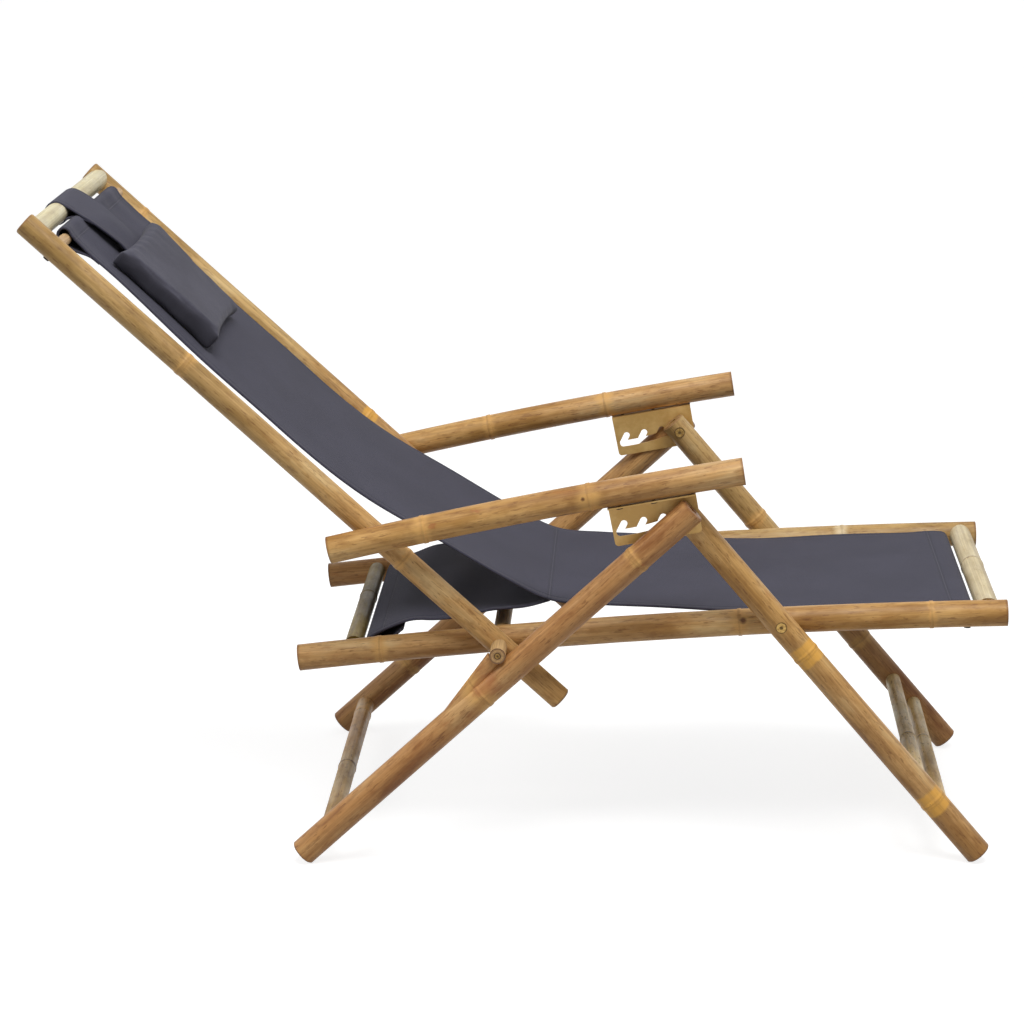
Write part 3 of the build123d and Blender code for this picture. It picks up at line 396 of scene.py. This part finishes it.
lacquer = metal("bracket_lacquer", paint(188, 149, 84), paint(208, 172, 108), 0.4, 0.4, 0.52, 28.0)
brass = metal("bolt_brass", paint(176, 142, 84), paint(128, 96, 52), 0.85, 0.3, 0.46, 220.0)
seat_brass = metal("seat_bolt_brass", paint(190, 156, 92), paint(142, 108, 58), 0.8, 0.3, 0.46, 220.0,
                   (0.354, 0.331, 0.008))
leg_brass = metal("leg_bolt_brass", paint(190, 156, 92), paint(142, 108, 58), 0.8, 0.3, 0.46, 220.0,
                  (0.221, 0.486, 0.008))
dowel_brass = metal("dowel_screw_brass", paint(150, 118, 66), paint(92, 68, 38), 0.8, 0.34, 0.5, 400.0,
                    (-0.0246, 0.2985, 0.0042))
blackened = metal("blackened_screw", paint(34, 32, 32), paint(62, 58, 54), 0.6, 0.38, 0.55, 300.0)
metal_nodes = {
    "notched_bracket_left": lacquer, "notched_bracket_right": lacquer,
    "armrest_bolts": brass, "armrest_washers": brass,
    "leg_top_bolts": leg_brass, "seat_bolts": seat_brass, "dowel_end_screws": dowel_brass,
    "front_rod_screws": blackened, "upper_rod_screws": blackened,
    "bracket_screws_left": blackened, "bracket_screws_right": blackened,
}
for node, finish in metal_nodes.items():
    dress(node, finish)
print("metal pieces dressed:", len(metal_nodes))

# %% [markdown]
# The sling is heavy dark cloth, grey-blue in the light. Its weave is too fine to see from a step
# away, but it breaks up the light, and the cloth is a little faded in broad patches. The finish
# reads the piece's own UV map, laid out in metres: U across the cloth and V along it. That makes a
# row of stitches just a place on U or V.

# %% The woven cloth
CLOTH = paint(67, 66, 80)
CLOTH_DARK = paint(61, 60, 73)
THREAD = paint(43, 42, 51)
THREAD_PITCH = 0.0013
STITCH_PITCH = 0.0021


def woven(name, rows_u=(), rows_v=(), tone=CLOTH, dark=CLOTH_DARK, painted_side_shade=False):
    """Woven cloth with rows of stitches at places across and along it, and painted shade on the sides
    that face across the chair if asked.
    """
    material, tree, shader = start_finish(name)
    laid = put(tree, "ShaderNodeUVMap", {"uv_map": "cut"}).outputs[0]
    parts = put(tree, "ShaderNodeSeparateXYZ", i0=laid)
    u, v = parts.outputs[0], parts.outputs[1]
    weft = sums(tree, "SINE", sums(tree, "MULTIPLY", u, 2 * math.pi / THREAD_PITCH))
    warp = sums(tree, "SINE", sums(tree, "MULTIPLY", v, 2 * math.pi / THREAD_PITCH))
    weave = sums(tree, "MULTIPLY", weft, warp)
    slub = noise(tree, stretched(tree, laid, 700, 60, 1), 1.0, 3.0, 0.6)
    cross = noise(tree, stretched(tree, laid, 60, 700, 1), 1.0, 3.0, 0.6)
    fade = noise(tree, laid, 9.0, 4.0, 0.55)
    colour = stained(tree, dark, fade, (0.3, 0.7), (0.0, 1.0), tone)
    threads = sums(tree, "MULTIPLY", sums(tree, "ADD", slub, cross), 0.5)
    colour = stained(tree, colour, threads, (0.38, 0.62), (0.35, 0.0), THREAD)
    height = sums(tree, "MULTIPLY_ADD", weave, 0.25, sums(tree, "MULTIPLY", threads, 0.8))
    for place, other, rows in ((u, v, rows_u), (v, u, rows_v)):
        for row in rows:
            off = sums(tree, "ABSOLUTE", sums(tree, "SUBTRACT", place, row))
            dent = ramp_to(tree, off, 0.0012, 0.0045, 1.0, 0.0)
            dash = sums(tree, "PINGPONG", other, STITCH_PITCH)
            stitch = sums(tree, "MULTIPLY", ramp_to(tree, off, 0.0004, 0.0009, 1.0, 0.0),
                          ramp_to(tree, dash, 0.0005, 0.0009))
            colour = mixed(tree, sums(tree, "MULTIPLY", dent, 0.34), colour, paint(40, 40, 47))
            colour = mixed(tree, sums(tree, "MULTIPLY", stitch, 0.8), colour, paint(86, 84, 96))
            height = sums(tree, "SUBTRACT", height, sums(tree, "MULTIPLY", dent, 2.4))
            height = sums(tree, "ADD", height, sums(tree, "MULTIPLY", stitch, 1.8))
    if painted_side_shade:
        # Painted shade: faces turned across the chair, such as the pillow's sides, are darkened as if
        # in shade.
        facing = put(tree, "ShaderNodeTexCoord").outputs["Normal"]
        painted_flank_shade = sums(tree, "ABSOLUTE", number_of(tree, facing, 1))
        colour = stained(tree, colour, painted_flank_shade, (0.4, 0.85), (0.0, 0.6), paint(36, 35, 42))
    tree.links.new(colour, shader.inputs["Base Color"])
    tree.links.new(ramp_to(tree, threads, 0.3, 0.7, 0.78, 0.9), shader.inputs["Roughness"])
    shader.inputs["Sheen Weight"].default_value = 0.08
    shader.inputs["Sheen Roughness"].default_value = 0.5
    shader.inputs["Specular IOR Level"].default_value = 0.2
    relief(tree, shader, height, 0.4, 0.0006)
    return material


print("cloth ready")

# %% [markdown]
# The sling is one long cloth. At each end it goes round a rod and is sewn back on itself, so seen
# from the side it is a line with a small loop at each end. A sheet like this is easiest from a
# flat grid: the grid gives the rows and columns, and each row is then laid along that side line.
# The side line is a smooth curve through a few places read from the chair, and the long edges are
# folded under and sewn, which gives them their thickness.

# %% The side line of a cloth
BACK_LEAN = math.radians(137.7)
DOWEL = (-0.02455, 0.2985)


def up_back(distance, forward):
    """A place on the back in millimetres: up the pole from the dowel, and forward of it."""
    lean, ahead = BACK_LEAN, BACK_LEAN - math.pi / 2
    return (DOWEL[0] + (distance * math.cos(lean) + forward * math.cos(ahead)) / 1000,
            DOWEL[1] + (distance * math.sin(lean) + forward * math.sin(ahead)) / 1000)


def loop(centre, radius, start, end, count=16, puff=0.0, toward=90.0):
    """Places round a rod from one angle to another, in degrees, puffed out towards one of them."""
    turns = np.linspace(start, end, count)
    places = []
    for turn in turns:
        lean = math.cos(math.radians(turn - toward))
        far = radius + puff * max(0.0, lean) ** 2
        angle = math.radians(turn)
        places.append((centre[0] + far * math.cos(angle), centre[1] + far * math.sin(angle)))
    return places


def smooth_line(places, spacing):
    """Evenly spaced places on a smooth curve through the given ones, and how far along each lies."""
    p = np.array(places, float)
    knot = np.concatenate([[0], np.cumsum(np.linalg.norm(np.diff(p, axis=0), axis=1))])
    slope = np.gradient(p, knot, axis=0)
    fine = []
    for i in range(len(p) - 1):
        gap = knot[i + 1] - knot[i]
        for t in np.linspace(0, 1, 20, endpoint=False):
            near, far = (1 - t) ** 2, t ** 2
            fine.append(near * (1 + 2 * t) * p[i] + near * t * gap * slope[i]
                        + far * (3 - 2 * t) * p[i + 1] + far * (t - 1) * gap * slope[i + 1])
    fine = np.array(fine + [p[-1]])
    run = np.concatenate([[0], np.cumsum(np.linalg.norm(np.diff(fine, axis=0), axis=1))])
    steps = np.linspace(0, run[-1], int(run[-1] / spacing))
    line = np.column_stack([np.interp(steps, run, fine[:, 0]), np.interp(steps, run, fine[:, 1])])
    return line, steps


print("a loop round a rod has", len(loop((0, 0), 0.009, 0, 180)), "places")


# %% [markdown]
# Now the sheet itself. The grid's columns are laid across the chair, with the last few folded under
# at each edge. Each row stands square to the side line, and small ripples push it in or out: cloth
# that is pulled by a rod gathers a little beside it and lies flat further away. Solidify then gives
# the thickness of the weave.

# %% A cloth laid along a side line
CLOTH_T = 0.0016
FLAT_COLUMNS = 57
EDGE_ROLL = 0.0006


def laid_cloth(name, places, half, fold, spacing, ripple):
    """A cloth sheet along a side line, with folded edges, an UV map in metres and its flat size."""
    line, steps = smooth_line(places, spacing)
    tangent = np.gradient(line, axis=0)
    tangent /= np.linalg.norm(tangent, axis=1)[:, None]
    under = CLOTH_T * 1.06
    across = [(-half + fold, -under), (-half + fold / 2, -under), (-half, -under)]
    across += [(-half - EDGE_ROLL, -under / 2)]
    across += [(y, 0.0) for y in np.linspace(-half, half, FLAT_COLUMNS)]
    across += [(half + EDGE_ROLL, -under / 2)]
    across += [(half, -under), (half - fold / 2, -under), (half - fold, -under)]
    across = np.array(across)
    width = np.concatenate([[0], np.cumsum(np.linalg.norm(np.diff(across, axis=0), axis=1))])
    columns, rows = len(across), len(line)

    bpy.ops.object.select_all(action="DESELECT")
    bpy.ops.mesh.primitive_grid_add(x_subdivisions=columns - 1, y_subdivisions=rows - 1, size=1)
    cloth = bpy.context.object
    cloth.name = cloth.data.name = name
    mesh = cloth.data
    flat_places = np.empty(len(mesh.vertices) * 3)
    mesh.vertices.foreach_get("co", flat_places)
    flat_places = flat_places.reshape(-1, 3)
    column = np.rint((flat_places[:, 0] + 0.5) * (columns - 1)).astype(int)
    row = np.rint((flat_places[:, 1] + 0.5) * (rows - 1)).astype(int)
    out = across[column, 1] + ripple(steps[row], across[column, 0], steps[-1])
    shaped = np.empty_like(flat_places)
    shaped[:, 0] = line[row, 0] + tangent[row, 1] * out
    shaped[:, 1] = across[column, 0]
    shaped[:, 2] = line[row, 1] - tangent[row, 0] * out
    mesh.vertices.foreach_set("co", shaped.ravel())
    cut = mesh.uv_layers[0] if mesh.uv_layers else mesh.uv_layers.new()
    cut.name = "cut"
    corner = np.empty(len(mesh.loops), int)
    mesh.loops.foreach_get("vertex_index", corner)
    cut.data.foreach_set("uv", np.column_stack([width[column[corner]], steps[row[corner]]]).ravel())
    mesh.update()
    weave = cloth.modifiers.new("weave thickness", "SOLIDIFY")
    weave.thickness = CLOTH_T
    weave.offset = 0
    bpy.ops.object.modifier_apply(modifier=weave.name)
    bpy.ops.object.shade_smooth_by_angle(angle=math.radians(50))
    flat_size = (float(width[-1]), float(steps[-1]))
    print(name, "cut", round(flat_size[0], 3), "by", round(flat_size[1], 3), "m,",
          len(mesh.polygons), "faces")
    return cloth, flat_size


# %% [markdown]
# The long cloth starts under the seat's front rod, goes round it and back over the seat, dips to the
# seam above the dowel, climbs the back and ends round the top rod. The seam isn't a cut in this
# cloth: it is the row of stitches that holds the tail to it from below.

# %% The long sling
HALF = 0.202
FOLD = 0.011
FOLD_ROUND = 0.0022
EDGE_AT = 0.203
SLING_ROWS = 0.0048
ROUND_ROD = 0.0092
TOP_ROD, FRONT_ROD, REAR_ROD = (-0.6078, 0.8373), (0.6069, 0.3393), (-0.2011, 0.2829)
SEAM = (0.0419, 0.35)

sling_line = [(0.5602, 0.3439), (0.5767, 0.3425), (0.5917, 0.3362)]
sling_line += loop(FRONT_ROD, ROUND_ROD, -108, 90)
sling_line += [(0.5567, 0.3463), (0.4649, 0.3415), (0.3249, 0.3362), (0.1849, 0.3388)]
sling_line += [(0.1067, 0.3428), SEAM, (-0.0163, 0.377)]
sling_line += [up_back(176, 35.2), up_back(270, 18.5), up_back(375, 9.2), up_back(480, 9.6)]
sling_line += [up_back(590, 11.6), up_back(700, 13.6), up_back(768, 15.0)]
sling_line += loop(TOP_ROD, ROUND_ROD, 47.7, 250, 20, 0.007, 98)
sling_line += [up_back(770, 4.6), up_back(752, 11.4), up_back(738, 12.2)]


def sling_ripple(along, y, length):
    """How far the long sling stands out from its line."""
    top = np.exp(-np.abs(length - 0.105 - along) / 0.05) * (along < length - 0.085)
    gather = 0.0016 * top * np.sin(2 * np.pi * y / 0.085 + 0.6) * np.cos(2 * np.pi * y / 0.31)
    middle = np.sin(np.pi * (y + EDGE_AT) / (2 * EDGE_AT))
    slack = 0.0011 * np.sin(2 * np.pi * along / 0.47 + 5.5 * y) * middle
    near_edge = np.exp(-(EDGE_AT - np.abs(y)) / 0.016)
    edge = 0.0014 * near_edge * np.sin(2 * np.pi * along / 0.29 + 3 * np.sign(y))
    free = np.clip((along - 0.11) / 0.06, 0, 1) * np.clip((length - 0.115 - along) / 0.05, 0, 1)
    return gather + (slack + edge) * free


sling, sling_flat = laid_cloth("sling", sling_line, HALF, FOLD, SLING_ROWS, sling_ripple)
laid_line, laid_steps = smooth_line(sling_line, SLING_ROWS)
near_seam = int(np.argmin(np.linalg.norm(laid_line - np.array(SEAM), axis=1)))
seam_v = float(laid_steps[near_seam])
edge_u = FOLD + FOLD_ROUND + FOLD * 0.82
sling_cloth = woven("sling_cloth_finish", [edge_u, sling_flat[0] - edge_u],
                    [0.0025, 0.099, seam_v, sling_flat[1] - 0.004, sling_flat[1] - 0.111])
sling.data.materials.append(sling_cloth)
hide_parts("back_sling", "seat_sling")
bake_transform(sling)

# %% [markdown]
# The tail is a second cloth, sewn to the sling's underside at the seam. It runs back to the rear rod
# and keeps the sling from sliding forward under the sitter. It is slacker than the sling, so it
# shows soft folds that run across it.

# %% The tail
TAIL_HALF, TAIL_ROWS = HALF - 0.002, 0.0045
tail_line = [(0.0412, 0.3467), (0.0137, 0.3392), (-0.0391, 0.3292)]
tail_line += [(-0.1151, 0.3205), (-0.1551, 0.3142), (-0.1833, 0.3030)]
tail_line += loop(REAR_ROD, ROUND_ROD, 118, 292)
tail_line += [(-0.1853, 0.2795), (-0.1703, 0.2925), (-0.1588, 0.3025)]


def tail_ripple(along, y, length):
    """How far the tail stands out from its line."""
    free = np.clip(along / 0.05, 0, 1) * np.clip((length - 0.12 - along) / 0.04, 0, 1)
    fold = 0.003 * np.sin(2 * np.pi * along / 0.11 + 2.1 * y) * np.cos(2 * np.pi * y / 0.52 + 0.4)
    near_edge = np.exp(-(EDGE_AT - np.abs(y)) / 0.03)
    edge = 0.0022 * near_edge * np.sin(2 * np.pi * along / 0.16 + np.sign(y))
    return (fold + edge) * free


tail, tail_flat = laid_cloth("sling_tail_cloth", tail_line, TAIL_HALF, FOLD, TAIL_ROWS, tail_ripple)
tail.data.materials.append(woven("tail_cloth_finish", [edge_u, tail_flat[0] - edge_u],
                                 [0.004, tail_flat[1] - 0.003, tail_flat[1] - 0.098]))
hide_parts("sling_tail")
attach(tail, "base")

# %% [markdown]
# The pillow is a sewn box of cloth stuffed firm. A box that is blown up a little gets its crown by
# itself, so it is made by simulation: a box with rounded edges is remeshed fine, its sides are drawn
# in a little, and then it is given cloth and inner pressure with gravity off and run for twenty
# frames. The simulation swells further than the pillow of this chair, so the move of each point is
# capped.

# %% Blow up the pillow
PILLOW_WIDE, PILLOW_TALL, PILLOW_THICK, PILLOW_Y = 0.272, 0.181, 0.024, -0.03
HALF_SIZE = (PILLOW_WIDE / 2, PILLOW_TALL / 2)
SIDE_PULL = (0.006, 0.004)
ROUNDED_EDGE, VOXEL = 0.004, 0.0035
STUFFING_FRAMES = 20
MOVE_CAP = 0.005
bpy.ops.object.select_all(action="DESELECT")
bpy.ops.mesh.primitive_cube_add(size=1)
pillow = bpy.context.object
pillow.name = pillow.data.name = "pillow"
bpy.ops.object.mode_set(mode="EDIT")
bpy.ops.transform.resize(value=(PILLOW_WIDE, PILLOW_TALL, PILLOW_THICK))
bpy.ops.mesh.bevel(offset=ROUNDED_EDGE, segments=3, affect="EDGES")
bpy.ops.mesh.subdivide(number_cuts=6)
bpy.ops.object.mode_set(mode="OBJECT")
remesh = pillow.modifiers.new("fine mesh", "REMESH")
remesh.mode = "VOXEL"
remesh.voxel_size = VOXEL
bpy.ops.object.modifier_apply(modifier=remesh.name)


def places_of(mesh):
    """The places of a mesh's points."""
    found = np.empty(len(mesh.vertices) * 3)
    mesh.vertices.foreach_get("co", found)
    return found.reshape(-1, 3)


before = places_of(pillow.data)
for axis, pull in enumerate(SIDE_PULL):
    reach, other = before[:, axis], 1 - axis
    bow = 1 - (before[:, other] / HALF_SIZE[other]) ** 2
    before[:, axis] -= np.sign(reach) * pull * bow * (np.abs(reach) / HALF_SIZE[axis]) ** 3
pillow.data.vertices.foreach_set("co", before.ravel())
pillow.data.update()
puff = pillow.modifiers.new("stuffing", "CLOTH")
puff.settings.use_pressure = True
puff.settings.uniform_pressure_force = 4.0
puff.settings.mass = 0.25
puff.settings.tension_stiffness = 22
puff.settings.compression_stiffness = 22
puff.settings.bending_stiffness = 0.6
puff.settings.effector_weights.gravity = 0
puff.point_cache.frame_start, puff.point_cache.frame_end = 1, STUFFING_FRAMES
scene = bpy.context.scene
for step in range(1, STUFFING_FRAMES + 1):
    scene.frame_set(step)
bpy.ops.object.modifier_apply(modifier=puff.name)
scene.frame_set(1)
after = places_of(pillow.data)
moved = after - before
far = np.linalg.norm(moved, axis=1)
after = before + moved * np.minimum(1, MOVE_CAP / np.maximum(far, 1e-9))[:, None]
print("pillow moved up to", round(float(far.max()) * 1000, 1), "mm")

# %% [markdown]
# Blown up, the pillow is too even. Real stuffing gathers, and the seams pull small puckers along the
# edges, so a few soft waves go on near the rim. Then it is pressed flat below, let down at the far
# lower corner, where the filling is spent, laid on the sling and smoothed with one subdivision.

# %% Lay the pillow on the sling
half_wide, half_tall = 0.14, 0.094
PUCKER, WAVE, GATHER = 0.0016, 0.0018, 0.0024
wide, tall, thick = after.T
rim = np.maximum(np.abs(wide) / half_wide, np.abs(tall) / half_tall)
pucker = np.clip((rim - 0.72) / 0.28, 0, 1) * PUCKER
thick += pucker * np.sin(wide * 2 * np.pi / 0.043 + 1.1) * np.cos(tall * 2 * np.pi / 0.052)
thick += WAVE * np.sin(wide * 17 + 0.7) * np.sin(tall * 23 + 0.3) * (thick > 0)
gathered = np.exp(-(half_tall - tall) / 0.016) * (np.abs(wide) < 0.09)
thick += GATHER * gathered * np.sin(wide * 2 * np.pi / 0.037) * (thick > 0)
low = -PILLOW_THICK / 2 - 0.0003
thick[:] = np.where(thick < low, low + (thick - low) * 0.12, thick)
thick -= thick.min()
wide[:] = np.clip(wide, -half_wide, half_wide)
spent = np.clip((wide / half_wide + 1) / 2, 0, 1) * np.clip((1 - tall / half_tall) / 2, 0, 1)
thick *= 1 - 0.3 * spent
pillow.data.vertices.foreach_set("co", after.ravel())
lean = BACK_LEAN - math.pi / 2 - math.radians(0.91)
seat = up_back(641, 14.6)
stand = Matrix(((0, -math.sin(lean), math.cos(lean), seat[0]), (1, 0, 0, PILLOW_Y),
                (0, math.cos(lean), math.sin(lean), seat[1]), (0, 0, 0, 1)))
pillow_cut = pillow.data.uv_layers.new(name="cut")
corner = np.empty(len(pillow.data.loops), int)
pillow.data.loops.foreach_get("vertex_index", corner)
wrapped = after[:, :2] + after[:, 2:3] * np.sign(after[:, :2]) * (rim > 0.9)[:, None]
pillow_cut.data.foreach_set("uv", wrapped[corner].ravel())
pillow.data.transform(stand)
pillow.data.update()
smooth = pillow.modifiers.new("smooth", "SUBSURF")
smooth.levels = smooth.render_levels = 1
bpy.ops.object.modifier_apply(modifier=smooth.name)
bpy.ops.object.shade_smooth()
# The pillow's finish darkens its sides as painted shade.
pillow_cloth = woven("pillow_cloth_finish", (), (), paint(80, 79, 91), paint(67, 66, 77), True)
pillow.data.materials.append(pillow_cloth)
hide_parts("pillow_cover", "pillow_filling")
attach(pillow, "pillow")
print("pillow faces:", len(pillow.data.polygons))

# %% [markdown]
# The pillow hangs from the top rail by a wide strap: it leaves the pillow's upper edge, goes over the
# rail, round behind it, and is sewn back to its own underside. It is the same kind of sheet as the
# sling, only narrower, so the same function lays it. Towards the pillow it is then drawn in.

# %% The strap over the top rail
TOP_RAIL, ROUND_RAIL = (-0.637, 0.8572), 0.0159
STRAP_HALF, STRAP_FOLD, STRAP_STITCH, STRAP_ROWS = 0.066, 0.009, 0.0074, 0.0032
DRAWN_IN, LET_OUT = 0.78, 0.22
strap_line = [up_back(720, 25), up_back(736, 27), up_back(752, 27.6)]
strap_line += [up_back(777, 26.8), up_back(803, 22.4)]
strap_line += loop(TOP_RAIL, ROUND_RAIL, 60, 322, 24)
strap_line += [up_back(806, 13.4), up_back(792, 20.4), up_back(780, 23.6)]


def strap_ripple(along, y, length):
    """How far the strap stands out from its line."""
    free = np.clip(along / 0.02, 0, 1) * np.clip((0.075 - along) / 0.02, 0, 1)
    return free * 0.0012 * np.sin(2 * np.pi * y / 0.12 + 30 * along)


strap, strap_flat = laid_cloth("pillow_strap_cloth", strap_line, STRAP_HALF, STRAP_FOLD, STRAP_ROWS,
                               strap_ripple)
strap_places = places_of(strap.data)
climb = ((strap_places[:, 0] - DOWEL[0]) * math.cos(BACK_LEAN)
         + (strap_places[:, 2] - DOWEL[1]) * math.sin(BACK_LEAN))
strap_places[:, 1] *= DRAWN_IN + LET_OUT * np.clip((climb - 0.735) / 0.06, 0, 1)
strap.data.vertices.foreach_set("co", strap_places.ravel())
strap.data.transform(Matrix.Translation((0, PILLOW_Y, 0)))
strap_edge = STRAP_FOLD + FOLD_ROUND + STRAP_STITCH
strap.data.materials.append(woven("strap_cloth_finish", [strap_edge, strap_flat[0] - strap_edge],
                                  [strap_flat[1] - 0.004]))
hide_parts("pillow_strap")
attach(strap, "pillow")

# %% [markdown]
# The chair stands on a plain pale floor in soft studio light: one broad lamp above and in front, one
# weaker one from the head end, and an even pale world. To the camera the floor and the world are
# white. The floor keeps the chair's shadow, because only part of its white is its own.

# %% Floor, light and camera
FLOOR_GREY, FLOOR_GLOW = 0.42, 0.8
WORLD_LIGHT, WORLD_SEEN = 0.34, 0.66
CAMERA_PLACE, CAMERA_TILT, CAMERA_TURN, CAMERA_LENS = (0.1649, -4.504, 1.5029), 76.5, 2.324, 114.94


def seen_rays(tree):
    """One where the camera or a reflection sees the surface, and zero for other light."""
    path = put(tree, "ShaderNodeLightPath")
    return sums(tree, "MAXIMUM", path.outputs["Is Camera Ray"], path.outputs["Is Glossy Ray"])


bpy.ops.object.select_all(action="DESELECT")
bpy.ops.mesh.primitive_plane_add(size=60, location=(0, 15, 0))
floor = bpy.context.object
floor.name = "floor"
floor_finish, tree, shader = start_finish("pale_floor")
shader.inputs["Base Color"].default_value = (FLOOR_GREY, FLOOR_GREY, FLOOR_GREY, 1)
shader.inputs["Roughness"].default_value = 0.9
glow = put(tree, "ShaderNodeEmission", Strength=sums(tree, "MULTIPLY", seen_rays(tree), FLOOR_GLOW))
both = put(tree, "ShaderNodeAddShader", i0=shader.outputs[0], i1=glow.outputs[0])
tree.links.new(both.outputs[0], tree.nodes["Material Output"].inputs["Surface"])
floor.data.materials.append(floor_finish)

world = bpy.data.worlds.new("studio")
bpy.context.scene.world = world
world.use_nodes = True
tree = world.node_tree
sky = tree.nodes["Background"]
strength = sums(tree, "MULTIPLY_ADD", seen_rays(tree), WORLD_SEEN, WORLD_LIGHT)
tree.links.new(strength, sky.inputs["Strength"])
sky.inputs["Color"].default_value = (1, 1, 1, 1)

lamp_target = Vector((0, 0, 0.4))
lamps = [("lamp_above", (0.5, -1.5, 3.9), 2.2, 124), ("lamp_head_end", (-3.0, -0.8, 2.8), 1.8, 24)]
for name, place, size, power in lamps:
    bpy.ops.object.light_add(type="AREA", location=place)
    lamp = bpy.context.object
    lamp.name = name
    lamp.data.size = size
    lamp.data.energy = power
    lamp.rotation_euler = (lamp_target - Vector(place)).to_track_quat("-Z", "Y").to_euler()

camera_rotation = (math.radians(CAMERA_TILT), 0, math.radians(CAMERA_TURN))
bpy.ops.object.camera_add(location=CAMERA_PLACE, rotation=camera_rotation)
camera = bpy.context.object
camera.data.sensor_fit = "HORIZONTAL"
camera.data.sensor_width = 36
camera.data.lens = CAMERA_LENS
bpy.context.scene.camera = camera
bpy.context.scene.view_settings.view_transform = "Standard"
print("lamps:", len(lamps))
